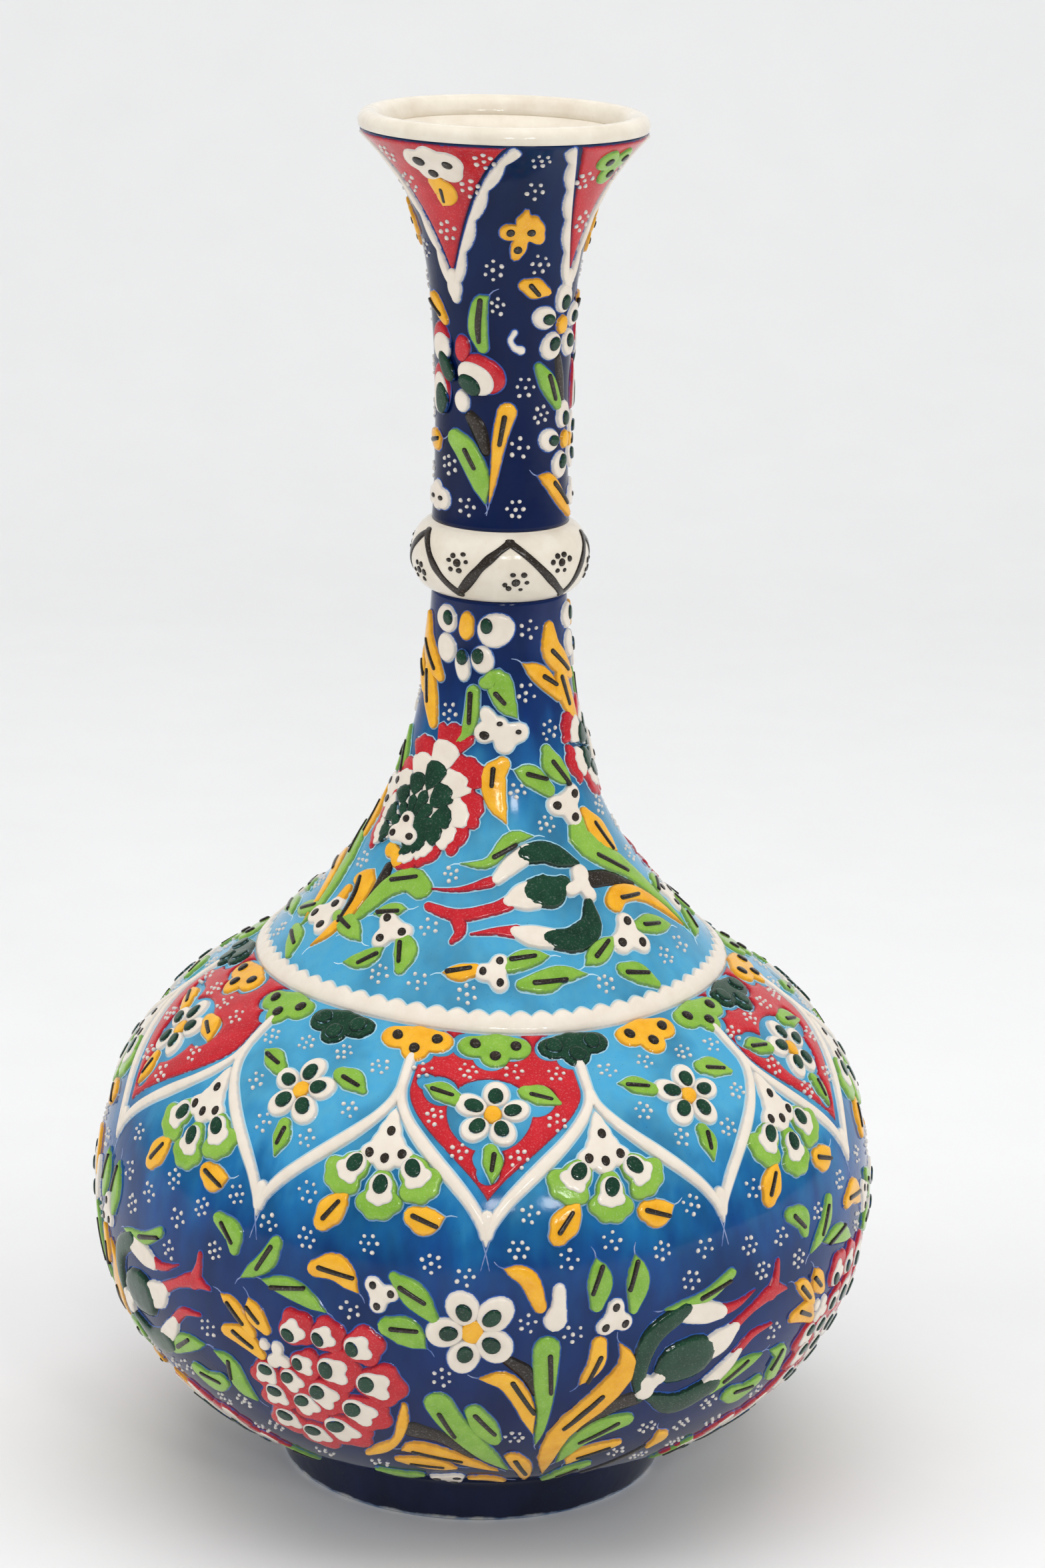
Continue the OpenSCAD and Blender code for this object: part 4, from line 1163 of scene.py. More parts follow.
def shoulder_and_lower_neck():
    """The motifs in front, and the same ones turned round to the sides and back."""
    shoulder_tulip(0)
    shoulder_sprays(0)
    lower_neck(0)
    collar_flower(0)
    shoulder_tulip(-150)
    shoulder_tulip(122)
    shoulder_sprays(122)
    shoulder_sprays(-112)
    side_petals = [(-98, 10, 3.2), (-60, 12, 3.6), (-22, 15, 3.8), (16, 16, 3.8), (54, 13, 3.6)]
    fan_carnation(96, 207, side_petals, turn=72)
    lower_neck(252)
    collar_flower(122)
    collar_flower(-122)


SHOULDER_CLUSTERS = [
    (25, 237), (62, 236), (22, 223.4), (46, 212.4), (-37, 218.6), (13, 202.6), (28, 196.2), (74, 195.4),
    (-46.6, 166.2), (-64, 159.8), (-33.4, 159.8), (-19.6, 159), (-21.4, 171.4), (-9.4, 167.4), (-18, 184),
    (-6, 157.6), (39, 172.6), (21.4, 158.2), (32.2, 158.4), (57, 160), (67, 160.6), (74, 181.6),
    (-8, 193.2)
]


# ---- Collar, upper neck and trumpet ----

ZIGZAG = [(-29, 247), (7, 260.6), (50, 246.4), (80, 259.6), (115, 247), (151, 260), (187, 247),
          (223, 260.2), (259, 247), (296, 260.8)]


COLLAR_DOT_MARK = 253.0
COLLAR_DOT_SPREAD = 2.1
COLLAR_DOT_R = 18


def collar_dots(az, up):
    """Six black dots round a larger one, above or below the collar's middle."""
    for k in range(7):
        centre = k == 6
        angle = math.radians(360 * k / 6 + rng.uniform(-14, 14))
        reach = 0 if centre else COLLAR_DOT_SPREAD * rng.uniform(0.85, 1.2)
        turn = math.degrees(reach * math.cos(angle) / COLLAR_DOT_R)
        size = 0.95 if centre else 0.62 * rng.uniform(0.75, 1.3)
        drop_at(marks, az + turn, COLLAR_DOT_MARK + up * 2 + reach * math.sin(angle),
                oval(size, size * rng.uniform(0.8, 1.1)), height=0.3, line=0.0, segments=10, shoulder=0.4)


def collar_paint():
    """The black zigzag round the collar and the dots in its bays."""
    bends = ZIGZAG + [(az + 360, mark) for az, mark in ZIGZAG[:2]]
    for a, b, c in zip(bends, bends[1:], bends[2:]):
        middle = ((a[0] + b[0]) / 2 + rng.uniform(-2, 2), (a[1] + b[1]) / 2 + rng.uniform(-0.6, 0.6))
        widths = [1.05 * rng.uniform(0.75, 1.15) for _ in range(7)]
        stroke(zigzag, [a, middle, b], widths, 0.28, line=0.0, rows=20, shoulder=0.4)
        collar_dots((a[0] + c[0]) / 2, 1 if b[1] < COLLAR_DOT_MARK else -1)


def upper_neck(az):
    """Carnation, two blossoms on stems, leaves and a cream cloud between collar and trumpet."""
    round_carnation(-35 + az, 291.6)
    stem([(-27, 288.4), (-20, 286), (-13.6, 281.4)], az, [1.1, 1.5, 0.9])
    leaf(neck_lime, [(-42, 283.2), (-31, 281), (-19, 275.8), (-12.6, 270.2)],
         [1.8, 2.4, 2, 0.4], [(-31, 281.2), (-22.6, 277.6)], az)
    leaves(neck_yellow, [
        ([(4.5, 289.8), (-1, 284.8), (-5, 277.8), (-9.4, 270.4)], [1.8, 1.3, 0.6, 0.2],
         [(2.2, 288.8), (-1.6, 283)]),
        ([(-79, 282.2), (-70, 281.8), (-61.6, 282.4)], [1.6, 2.1, 0.6], [(-77, 281.6), (-65, 282.4)]),
        ([(-74, 313.4), (-64, 311.6), (-52, 308.2)], [0.5, 1.7, 0.8], [(-72, 311.8), (-56.6, 309.4)]),
    ], az)
    leaf(neck_lime, [(-10.6, 314.6), (-17.6, 312.6), (-20, 307.4), (-16, 303.6)],
         [0.3, 1.4, 1.9, 1], [(-16.6, 313.6), (-18.8, 308.6), (-18.4, 304.8)], az)
    cloud = lobes([(-3.2, 0.4, 2.2), (-0.6, 1.6, 2.3), (2.4, 0.2, 2.3), (0, 0, 2.4)])
    drop_at(sprigs, az - 65, 269.4, cloud, segments=40)
    for x in (-1.4, 1.9):
        black_dot(az - 65, 269.4, 0.9, 0.55, 0, x, 0.4)
    stroke(sprigs, shifted([(9.6, 306.8), (6.4, 305.2), (9.6, 303.6), (14.8, 303)], az),
           [0.6, 0.5, 0.6, 0.9], 0.6,
           rows=14)
    blossom(neck_cream, az + 54.5, 307.8, 5.5, 2.75, 88, eye=0.52)
    blossom(neck_cream, az + 67, 282.8, 5.6, 2.7, 100, eye=0.52)
    stem([(52.6, 300.6), (57, 296.6), (62, 291.4)], az, [0.9, 1.2, 0.8])
    leaf(neck_lime, [(31, 299.2), (41, 295.6), (52.6, 291)],
         [0.7, 1.9, 1.1], [(41, 297.2), (48, 292.2)], az)
    leaves(neck_yellow, [
        ([(33, 275.8), (45, 274.4), (58, 270.6), (73.6, 266.6)], [0.5, 1.5, 1.6, 0.8],
         [(49, 274), (68, 269)]),
        ([(16.6, 317), (25, 316.2), (34.6, 315.4)], [1, 2, 0.7], [(20.6, 317), (27, 315)]),
    ], az)


# Each pennant: azimuth of its left and right corner and of its apex, and the mark where its stub ends
PENNANTS = [(-80, 1, -39.5, 313.6), (32, 84, 57, 316.2), (112, 168, 140, 314.6), (198, 250, 224, 315.4)]
PENNANT_TOP = 350.6
PENNANT_TIP = 317.4
PENNANT_FLOWER = 345.0
PENNANT_BUMPS = 4.5


def pennant_ground(p):
    """The red of a pennant."""
    origin = (p[2], 336)

    def distance(u, v):
        mark = origin[1] + v
        az = np.degrees(u / radius(mark)) + origin[0]
        f = (mark - PENNANT_TIP) / (PENNANT_TOP - PENNANT_TIP)
        best = LIP_MARK - mark
        for side in (0, 1):
            edge = p[2] + (p[side] - p[2]) * f
            gap = (az - edge) * (1 if side == 0 else -1)
            best = np.minimum(best, np.radians(gap) * radius(mark) * 0.86 - 0.35)
        return best

    field(pennant_red, origin, 22, 17, distance, 0.45, 0.55)


def pennant_border(p):
    """The cream border of a pennant, bumpy on its outer side, and the stub under its apex."""
    for side in (0, 1):
        away = -1 if side == 0 else 1
        route = []
        plain = []
        waved = []
        for f in stations(0, 1, 41):
            az = p[2] + (p[side] - p[2]) * f
            route.append((az + away * (1.0 + 1.8 * f),
                          PENNANT_TIP - 1.2 + (PENNANT_TOP - PENNANT_TIP + 0.6) * f))
            plain.append(0.55 + 0.2 * f)
            waved.append(0.75 + 1.05 * abs(math.sin(math.pi * f * PENNANT_BUMPS)) ** 0.7)
        half = (waved, plain) if side == 0 else (plain, waved)
        stroke(pennant_cream, route, half, 0.9, rows=60, shoulder=0.8)
    stub = [(p[2] + 0.2, PENNANT_TIP + 0.8), (p[2] + 0.6, (PENNANT_TIP + p[3]) / 2), (p[2] + 1.4, p[3])]
    stroke(pennant_cream, stub, [1.7, 1.9, 1.2], 0.9, rows=12, shoulder=0.9)


def pennant_motifs():
    """Cream clouds and lime trefoils on the pennants, yellow trefoils between them."""
    cloud = lobes([(-4.6, 1.4, 3), (4.4, 1.2, 3.2), (-1.6, -1.6, 2.8), (3.4, -1.6, 2.9), (0, 2.2, 3.2),
                   (0, 0, 3.4)])
    lime = lobes([(-3, 1.4, 2.9), (3, 1.8, 2.9), (0.4, -3, 2.8), (0, 0, 2.4)])
    yellow = lobes([(-3, 0.2, 1.9), (2.4, 0.4, 2.3), (3.5, -1.4, 1.5), (-0.8, -3.4, 1.7), (-1.3, -5.2, 1.1),
                    (-0.2, 2.8, 1.6), (0.1, 5.2, 0.7), (2, 2.8, 1.1), (0, 0, 2.4)])
    for az in (-33, 140):
        drop_at(sprigs, az, PENNANT_FLOWER, cloud, segments=44, lift=0.2)
        for x, y, r in [(-2.8, 1.2, 1.5), (3.8, 0.8, 1.2), (-0.4, -2, 1.2)]:
            black_dot(az, PENNANT_FLOWER, r, r * 0.9, 0, x, y, 1, 0.35, 14, 0.5)
        leaf(neck_yellow, [(az - 2, 339.8), (az + 1, 337.4), (az - 3, 334.2)], [2, 2.6, 0.6],
             [(az - 0.6, 338.4), (az - 1, 335.6)], height=1.1)
    for az in (58, 224):
        drop_at(neck_lime, az, PENNANT_FLOWER, lime, segments=40, lift=0.2)
        for x, y in [(-2.4, 1.2), (2.8, 1.8), (0.8, -2.4)]:
            black_dot(az, PENNANT_FLOWER, 1.2, 1.1, 0, x, y, 1, 0.35, 14, 0.5)
    for az, mark in [(13, 328.6), (98, 328), (184, 329), (266, 328)]:
        drop_at(neck_yellow, az, mark, yellow, segments=52)
        for x, y in [(-2.7, 0.3), (1.5, 0.3), (-1, -3.6)]:
            black_dot(az, mark, 0.9, 0.85, 0, x, y)


PENNANT_CLUSTERS = [(-38, 328.4), (-57, 339), (-17, 339.2), (-8, 347), (-62, 346.4), (57, 330.4),
                    (44, 341), (76, 342), (140, 329), (158, 341), (122, 342), (224, 329), (208, 342),
                    (240, 342)]


def trumpet():
    """Pennants, their motifs and white dots round the trumpet."""
    for p in PENNANTS:
        pennant_ground(p)
        pennant_border(p)
    pennant_motifs()
    for az, mark in PENNANT_CLUSTERS:
        cluster(az, mark, 7, 2, 0.4, 0.55)


NECK_CLUSTERS = [
    (-4, 312.4), (-50, 277.4), (-29.6, 269), (15, 282.2), (12.6, 269), (19.6, 295), (-7, 320.2),
    (21, 304.6), (16.6, 347), (17, 338.6), (27, 321.4)
]


# ---- White dots where nothing else lies ----

HAND_ROOM = 1.8
HAND_APART = 4.4
FREE_ROOM = 2.7
FREE_APART = 7.0
# Lowest mark, highest mark and number of tries for the dots in free places
FREE_BELTS = [(36, 108, 5000), (156, 240, 4000), (267, 346, 3000)]


def scatter_clusters():
    """Clusters at the listed places in front, and wherever there is room for one elsewhere."""
    spots = np.concatenate(taken)
    tree = KDTree(len(spots))
    for i, p in enumerate(spots):
        tree.insert(p, i)
    tree.balance()
    placed = []

    def free(az, mark, room, apart):
        here = wall_xyz(np.array([az]), np.array([mark]), np.array([0.3]))[0]
        if tree.find(here)[2] < room:
            return None
        if any(np.linalg.norm(here - p) < apart for p in placed):
            return None
        return here

    by_hand = [(a + base, m) for base in (0, 90, 180, 270) for a, m in BELLY_CLUSTERS]
    by_hand += SHOULDER_CLUSTERS + NECK_CLUSTERS
    for az, mark in by_hand:
        here = free(az, mark, HAND_ROOM, HAND_APART)
        if here is not None:
            placed.append(here)
            cluster(az, mark, rng.choice([6, 7]), min(1.85, tree.find(here)[2] - 0.3))
    for low, high, tries in FREE_BELTS:
        for _ in range(tries):
            az = rng.uniform(-180, 180)
            mark = rng.uniform(low, high)
            here = free(az, mark, FREE_ROOM, FREE_APART)
            if here is not None:
                placed.append(here)
                cluster(az, mark, rng.choice([6, 7, 7]), 1.8)


petal_band()
lower_belly()
shoulder_and_lower_neck()
collar_paint()
upper_neck(0)
upper_neck(160)
trumpet()
scatter_clusters()


# ---- Materials ----

def srgb(r, g, b):
    """Linear colour from 0-255 screen values."""
    out = []
    for c in (r, g, b):
        c /= 255
        out.append(c / 12.92 if c <= 0.04045 else ((c + 0.055) / 1.055) ** 2.4)
    return (*out, 1.0)


class Nodes:
    """A small helper that adds nodes to a material and links them."""

    def __init__(self, name):
        self.material = bpy.data.materials.new(name)
        self.material.use_nodes = True
        self.tree = self.material.node_tree
        self.shader = self.tree.nodes["Principled BSDF"]

    def add(self, kind, inputs=None, **settings):
        node = self.tree.nodes.new(kind)
        for key, value in settings.items():
            setattr(node, key, value)
        for key, value in (inputs or {}).items():
            if isinstance(value, bpy.types.NodeSocket):
                self.tree.links.new(value, node.inputs[key])
            else:
                node.inputs[key].default_value = value
        return node

    def mix(self, factor, a, b, mode="MIX"):
        node = self.add("ShaderNodeMix", data_type="RGBA", blend_type=mode)
        for index, value in ((0, factor), (6, a), (7, b)):
            if isinstance(value, bpy.types.NodeSocket):
                self.tree.links.new(value, node.inputs[index])
            else:
                node.inputs[index].default_value = value
        return node.outputs[2]

    def ramp(self, factor, stops):
        node = self.add("ShaderNodeValToRGB", {"Fac": factor})
        elements = node.color_ramp.elements
        elements.remove(elements[-1])
        elements[0].position, elements[0].color = stops[0]
        for position, colour in stops[1:]:
            elements.new(position).color = colour
        return node.outputs["Color"]

    def math(self, operation, a, b):
        return self.add("ShaderNodeMath", {0: a, 1: b}, operation=operation).outputs[0]

    def object_place(self):
        return self.add("ShaderNodeTexCoord").outputs["Object"]

    def height(self, place):
        return self.add("ShaderNodeSeparateXYZ", {"Vector": place}).outputs["Z"]

    def noise(self, vector, scale, detail=2.0, roughness=0.5):
        node = self.add("ShaderNodeTexNoise", {"Vector": vector, "Scale": scale, "Detail": detail,
                                               "Roughness": roughness})
        return node.outputs["Fac"]

    def stretched(self, scale):
        inputs = {"Vector": self.object_place(), "Scale": scale}
        return self.add("ShaderNodeMapping", inputs).outputs["Vector"]

    def range(self, value, low, high, to_low=0.0, to_high=1.0):
        node = self.add("ShaderNodeMapRange", {"Value": value, "From Min": low, "From Max": high,
                                               "To Min": to_low, "To Max": to_high})
        return node.outputs["Result"]

    def gloss(self, roughness, ior, bump=None, strength=0.1, distance=0.0002):
        self.shader.inputs["Roughness"].default_value = roughness
        self.shader.inputs["IOR"].default_value = ior
        if bump is not None:
            node = self.add("ShaderNodeBump", {"Height": bump, "Strength": strength, "Distance": distance})
            self.tree.links.new(node.outputs["Normal"], self.shader.inputs["Normal"])

    def colour(self, socket):
        self.tree.links.new(socket, self.shader.inputs["Base Color"])


WHITE = (1.0, 1.0, 1.0, 1.0)
# Height in metres that the colour ramps cover
RAMP_H = 0.3
ENAMEL_IOR = 1.43

# Heights in metres where the brushed ground changes colour, from foot to lip
# The lower belly's stops, 0.020 to 0.045 m, are raised to make up for the weaker gloss: partly glaze colour,
# partly painted reflection of the pale floor.
GROUND_STOPS = [
    (0.000, srgb(12, 22, 50)), (0.020, srgb(24, 36, 74)), (0.045, srgb(28, 44, 92)),
    (0.066, srgb(26, 56, 108)), (0.076, srgb(24, 76, 134)), (0.086, srgb(32, 110, 162)),
    (0.094, srgb(64, 148, 192)), (0.104, srgb(84, 166, 202)), (0.148, srgb(82, 162, 196)),
    (0.160, srgb(54, 136, 182)), (0.168, srgb(34, 94, 148)), (0.177, srgb(24, 54, 106)),
    (0.196, srgb(17, 37, 84)), (0.212, srgb(12, 28, 68)), (0.250, srgb(10, 27, 66)),
    (0.270, srgb(14, 33, 72)), (0.296, srgb(22, 42, 78))
]


def ground_colour(n):
    """Blue glaze brushed on in streaks, from navy at the foot through turquoise to navy, with darker upright
    patches that are partly uneven glaze and partly painted dark reflection.
    """
    place = n.object_place()
    height = n.height(place)
    ragged = n.noise(n.stretched((1.0, 1.0, 0.45)), 95.0, 3.0, 0.6)
    moved = n.math("ADD", height, n.range(ragged, 0.3, 0.7, -0.006, 0.006))
    base = n.ramp(n.math("DIVIDE", moved, RAMP_H), [(z / RAMP_H, c) for z, c in GROUND_STOPS])
    streaks = n.noise(n.stretched((1.0, 1.0, 0.12)), 420.0, 4.0, 0.6)
    # Darker upright patches: partly uneven glaze, partly painted dark reflections of the room in the gloss.
    patches = n.noise(n.stretched((1.0, 1.0, 0.6)), 60.0, 3.0, 0.55)
    light = n.mix(n.range(streaks, 0.35, 0.75, 0.0, 0.38), base, srgb(90, 170, 214), "SOFT_LIGHT")
    dark = n.mix(n.range(patches, 0.42, 0.70, 0.0, 0.45), light, srgb(12, 30, 84), "MULTIPLY")
    specks = n.noise(place, 2600.0, 1.0)
    return n.mix(n.range(specks, 0.70, 0.78, 0.0, 0.35), dark, srgb(16, 22, 60)), place


def ground_glaze(name, ior):
    """The brushed blue ground under a clear, slightly wavy gloss."""
    n = Nodes(name)
    colour, place = ground_colour(n)
    n.colour(colour)
    waves = n.noise(place, 55.0, 2.0, 0.45)
    orange = n.noise(place, 700.0, 2.0)
    both = n.math("ADD", waves, n.math("MULTIPLY", orange, 0.06))
    n.gloss(0.1, ior, both, 0.22, 0.0009)
    return n.material


def line_colour(n, place):
    """Colour of the thin glaze line round a deposit: royal blue on navy, pale on turquoise."""
    height = n.height(place)
    royal = srgb(44, 86, 162)
    pale = srgb(168, 214, 232)
    stops = [(0.0, royal), (0.078, royal), (0.094, pale), (0.165, pale), (0.190, royal),
             (RAMP_H, srgb(40, 82, 160))]
    return n.ramp(n.math("DIVIDE", height, RAMP_H), [(z / RAMP_H, c) for z, c in stops])


def enamel(name, base, deep, light, rim, speckle=0.0, roughness=0.14, outline=True):
    """Raised enamel: mottled body, a darker rim where it thins out, and the glaze line round it."""
    n = Nodes(name)
    place = n.object_place()
    edge = n.add("ShaderNodeAttribute", attribute_name="edge").outputs["Fac"]
    tone = n.add("ShaderNodeAttribute", attribute_name="tone").outputs["Fac"]
    mottle = n.noise(place, 260.0, 4.0, 0.6)
    body = n.mix(n.range(mottle, 0.3, 0.7), deep, light)
    body = n.mix(0.55, body, base)
    body = n.mix(n.range(tone, 0.0, 1.0, 0.0, 0.30), body, light)
    if speckle > 0:
        fine = n.noise(place, 2400.0, 2.0, 0.7)
        body = n.mix(n.range(fine, 0.56, 0.70, 0.0, speckle), body, WHITE)
        darker = n.noise(place, 1500.0, 2.0, 0.7)
        body = n.mix(n.range(darker, 0.60, 0.75, 0.0, speckle), body, deep)
    ragged = n.noise(place, 900.0, 2.0)
    wavy = n.math("ADD", edge, n.range(ragged, 0.3, 0.7, -0.10, 0.10))
    body = n.mix(n.range(wavy, 0.12, 0.40, 0.75, 0.0), body, rim)
    if outline:
        body = n.mix(n.range(wavy, -0.10, 0.02), line_colour(n, place), body)
    n.colour(body)
    waves = n.noise(place, 320.0, 3.0, 0.5)
    n.gloss(roughness, ENAMEL_IOR, waves, 0.25, 0.0004)
    return n.material


materials = {
    "navy_glaze": ground_glaze("brushed_blue_glaze", 1.31),
    "shoulder_glaze": ground_glaze("shoulder_blue_glaze", 1.34),
    "neck_glaze": ground_glaze("neck_blue_glaze", 1.27),
    "cream_enamel": enamel("cream_enamel", srgb(231, 220, 205), srgb(219, 205, 187), srgb(240, 231, 217),
                           srgb(200, 198, 196), 0.05),
    "red_enamel": enamel("red_enamel", srgb(192, 26, 38), srgb(154, 12, 24), srgb(208, 48, 56),
                         srgb(140, 24, 52), 0.08),
    "lime_enamel": enamel("lime_enamel", srgb(128, 176, 58), srgb(98, 148, 42), srgb(154, 194, 84),
                          srgb(88, 130, 76), 0.10),
    "dark_green_enamel": enamel("dark_green_enamel", srgb(20, 56, 40), srgb(8, 32, 24), srgb(36, 78, 54),
                                srgb(10, 30, 30), 0.06, 0.08),
    "yellow_enamel": enamel("yellow_enamel", srgb(240, 172, 28), srgb(216, 136, 10), srgb(250, 196, 64),
                            srgb(190, 130, 40), 0.06),
    "black_enamel": enamel("black_enamel", srgb(40, 34, 28), srgb(18, 15, 13), srgb(62, 52, 42),
                           srgb(24, 20, 20), 0.10, 0.2, outline=False),
}


def line_glaze(name):
    """The thin brushed lines by themselves, in the same colours as round the deposits."""
    n = Nodes(name)
    place = n.object_place()
    pale = n.mix(n.range(n.noise(place, 500.0, 2.0), 0.3, 0.7, 0.0, 0.3), line_colour(n, place), WHITE)
    n.colour(pale)
    n.gloss(0.12, ENAMEL_IOR)
    return n.material


materials["turquoise_glaze"] = line_glaze("glaze_line")


def cream_glaze(name):
    """Cream glaze of collar, lip and inside: faint warm patches and pinholes."""
    n = Nodes(name)
    place = n.object_place()
    patches = n.noise(place, 130.0, 4.0, 0.6)
    body = n.mix(n.range(patches, 0.3, 0.7), srgb(222, 211, 193), srgb(236, 228, 213))
    specks = n.noise(place, 1700.0, 2.0, 0.6)
    body = n.mix(n.range(specks, 0.68, 0.80, 0.0, 0.5), body, srgb(190, 180, 170))
    n.colour(body)
    n.gloss(0.14, ENAMEL_IOR, n.noise(place, 240.0, 3.0), 0.25, 0.0005)
    return n.material


def bare_foot(name):
    """Foot ring: dark brushed glaze that ends in a bare, worn clay edge where it stands."""
    n = Nodes(name)
    colour, place = ground_colour(n)
    height = n.height(place)
    ragged = n.noise(place, 170.0, 3.0, 0.6)
    wavy = n.math("ADD", height, n.range(ragged, 0.3, 0.7, -0.0004, 0.0003))
    clay = n.mix(n.range(ragged, 0.35, 0.65), srgb(196, 196, 192), srgb(110, 146, 190))
    body = n.mix(n.range(wavy, 0.0003, 0.0010), clay, colour)
    n.colour(body)
    n.gloss(0.16, 1.40, n.noise(place, 90.0, 3.0), 0.3, 0.0008)
    return n.material


materials["cream_glaze"] = cream_glaze("cream_glaze")
materials["foot_glaze"] = bare_foot("foot_glaze")


# ---- Meshes ----

def new_piece(name, points, faces, material, nodes):
    """A smooth mesh on the body, standing for the CAD nodes it replaces, if any."""
    mesh = bpy.data.meshes.new(name)
    mesh.from_pydata((np.asarray(points) * MM).tolist(), [], faces)
    mesh.polygons.foreach_set("use_smooth", [True] * len(mesh.polygons))
    mesh.materials.append(material)
    mesh.validate()
    mesh.update()
    piece = bpy.data.objects.new(name, mesh)
    bpy.context.scene.collection.objects.link(piece)
    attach(piece, "root")
    if nodes:
        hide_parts(*nodes)
    return piece


def build_batch(b):
    """One mesh of a batch's deposits, with the two numbers per point that its material reads."""
    piece = new_piece(b.name, np.concatenate(b.points), b.faces, materials[b.slot], b.nodes)
    for label, values in (("edge", b.edge), ("tone", b.tone)):
        layer = piece.data.attributes.new(label, "FLOAT", "POINT")
        layer.data.foreach_set("value", np.concatenate(values).astype(np.float32))
    return piece


LATHE_SIDES = 288


def lathe(name, line, material, node):
    """Turns a closed line of (radius, height) points round the axis, with the handmade unevenness.

    What stands on the floor stays level."""
    az = np.arange(LATHE_SIDES) * 360 / LATHE_SIDES
    rows = []
    for r, z in line:
        rr, zz = handmade(az, np.full(LATHE_SIDES, float(r)), np.full(LATHE_SIDES, float(z)))
        if z <= 0.5:
            zz = np.full(LATHE_SIDES, float(z))
        a = np.radians(az)
        rows.append(np.stack([rr * np.sin(a) + lean(zz), -rr * np.cos(a), zz], axis=-1))
    faces = ring_faces(len(rows), LATHE_SIDES)
    return new_piece(name, np.concatenate(rows), faces, materials[material], [node])


def thinned(line, every):
    """Every so many points of a line, and always its last one."""
    return line[::every] + ([line[-1]] if (len(line) - 1) % every else [])


def inner_wall(line, thickness):
    """Points a wall thickness inside an outer line."""
    p = np.array(line)
    d = np.gradient(p, axis=0)
    d /= np.linalg.norm(d, axis=1, keepdims=True)
    return [(r - thickness * t[1], z + thickness * t[0]) for (r, z), t in zip(p, d)]


SEAM_R = SHOULDER_R - WALL_T - 1
COLLAR_MID_Z = (COLLAR_LO_Z + COLLAR_HI_Z) / 2
BORE_TOP_Z = 236.0
THICKENING_Z = 282.0


def foot_piece():
    """Turned foot ring with rounded edges where it stands."""
    edge = 0.8
    foot = [(FOOT_INNER_R, FOOT_H), (FOOT_INNER_R, edge), (FOOT_INNER_R + 0.25, 0.25),
            (FOOT_INNER_R + edge, 0),
            (FOOT_R - edge, 0), (FOOT_R - 0.2, 0.25), (FOOT_R, edge)]
    foot += [(FOOT_R + (FOOT_TOP_R - FOOT_R) * f, edge + (FOOT_H - edge) * f) for f in (0.2, 0.4, 0.6, 0.8,
                                                                                        0.97)]
    foot += [(FOOT_TOP_R - 0.3, FOOT_H)]
    lathe("foot_ring_glazed", foot, "foot_glaze", "foot_ring")


def belly_piece():
    """Hollow lower body with its floor."""
    inside = [p for p in inner_wall(BELLY_LINE, WALL_T) if FLOOR_Z + 1 < p[1] < RIDGE_Z - 2]
    inside = thinned(inside, 6)
    belly = [(0.4, FOOT_H), (20.0, FOOT_H)] + thinned(BELLY_LINE, 2) + [(SEAM_R, RIDGE_Z)]
    belly += inside[::-1] + [(inside[0][0] - 5, FLOOR_Z), (20.0, FLOOR_Z), (0.4, FLOOR_Z)]
    lathe("belly_glazed", belly, "navy_glaze", "belly_shell")


def shoulder_piece():
    """Shoulder and lower neck, with the bore's lower half."""
    inside = [p for p in inner_wall(SHOULDER_LINE, WALL_T) if p[0] > BORE_R + 0.5 and p[1] > RIDGE_Z + 3]
    inside = thinned(inside, 6)
    shoulder = [(SEAM_R, RIDGE_Z)] + SHOULDER_LINE + [(NECK_R, COLLAR_LO_Z), (NECK_R, COLLAR_MID_Z)]
    shoulder += [(BORE_R, COLLAR_MID_Z), (BORE_R, inside[-1][1] + 3)] + inside[::-1]
    lathe("shoulder_glazed", shoulder, "shoulder_glaze", "shoulder_neck")


def collar_piece():
    """Solid ring over the neck's seam."""
    collar = [(NECK_R, COLLAR_LO_Z)] + COLLAR_LINE + [(NECK_R + NECK_SWELL, COLLAR_HI_Z),
                                                      (NECK_R, COLLAR_HI_Z)]
    lathe("collar_glazed", collar, "cream_glaze", "collar_ring")


def funnel_line():
    """Inside of the trumpet from the bore up, where the wall thickens towards the lip."""
    line = []
    for r, z in NECK_LINE:
        if z > BORE_TOP_Z + 6:
            line.append((r - LIP_WALL - 1.6 * ease((z - THICKENING_Z) / (LIP_SEAT_Z - THICKENING_Z)), z))
    return thinned(line, 4)


def neck_piece():
    """Slim neck and trumpet, blue outside and cream inside."""
    neck = [(NECK_R, COLLAR_MID_Z),
            (NECK_R, COLLAR_HI_Z)] + NECK_LINE + [(TRUMPET_R + 0.35, LIP_SEAT_Z + 0.6)]
    neck += funnel_line()[::-1] + [(BORE_R, BORE_TOP_Z), (BORE_R, COLLAR_MID_Z)]
    piece = lathe("neck_glazed", neck, "neck_glaze", "neck_upper")
    paint_inside(piece, len(neck), len(NECK_LINE) + 2)


def lip_piece():
    """Rounded bead at the mouth that runs smoothly into the funnel."""
    half_w = 2.35
    half_h = (LIP_TOP_Z - LIP_SEAT_Z) * 0.6
    mid_r = TRUMPET_R - LIP_WALL / 2
    lip = []
    for a in stations(-24, 96, 19):
        a = math.radians(a)
        lip.append((mid_r + half_w * math.cos(a), LIP_TOP_Z - half_h + half_h * math.sin(a)))
    for inward, down in [(0.9, 0.18), (1.6, 0.55), (2.15, 1.1), (2.6, 1.85), (2.95, 2.7), (3.25, 3.6)]:
        lip.append((mid_r - inward, LIP_TOP_Z - down))
    lip += [(funnel_line()[-1][0] + 0.3, LIP_SEAT_Z - 0.2), (mid_r, LIP_SEAT_Z - 0.2),
            (TRUMPET_R - 0.4, LIP_SEAT_Z + 0.3)]
    lathe("lip_glazed", lip, "cream_glaze", "lip_ring")


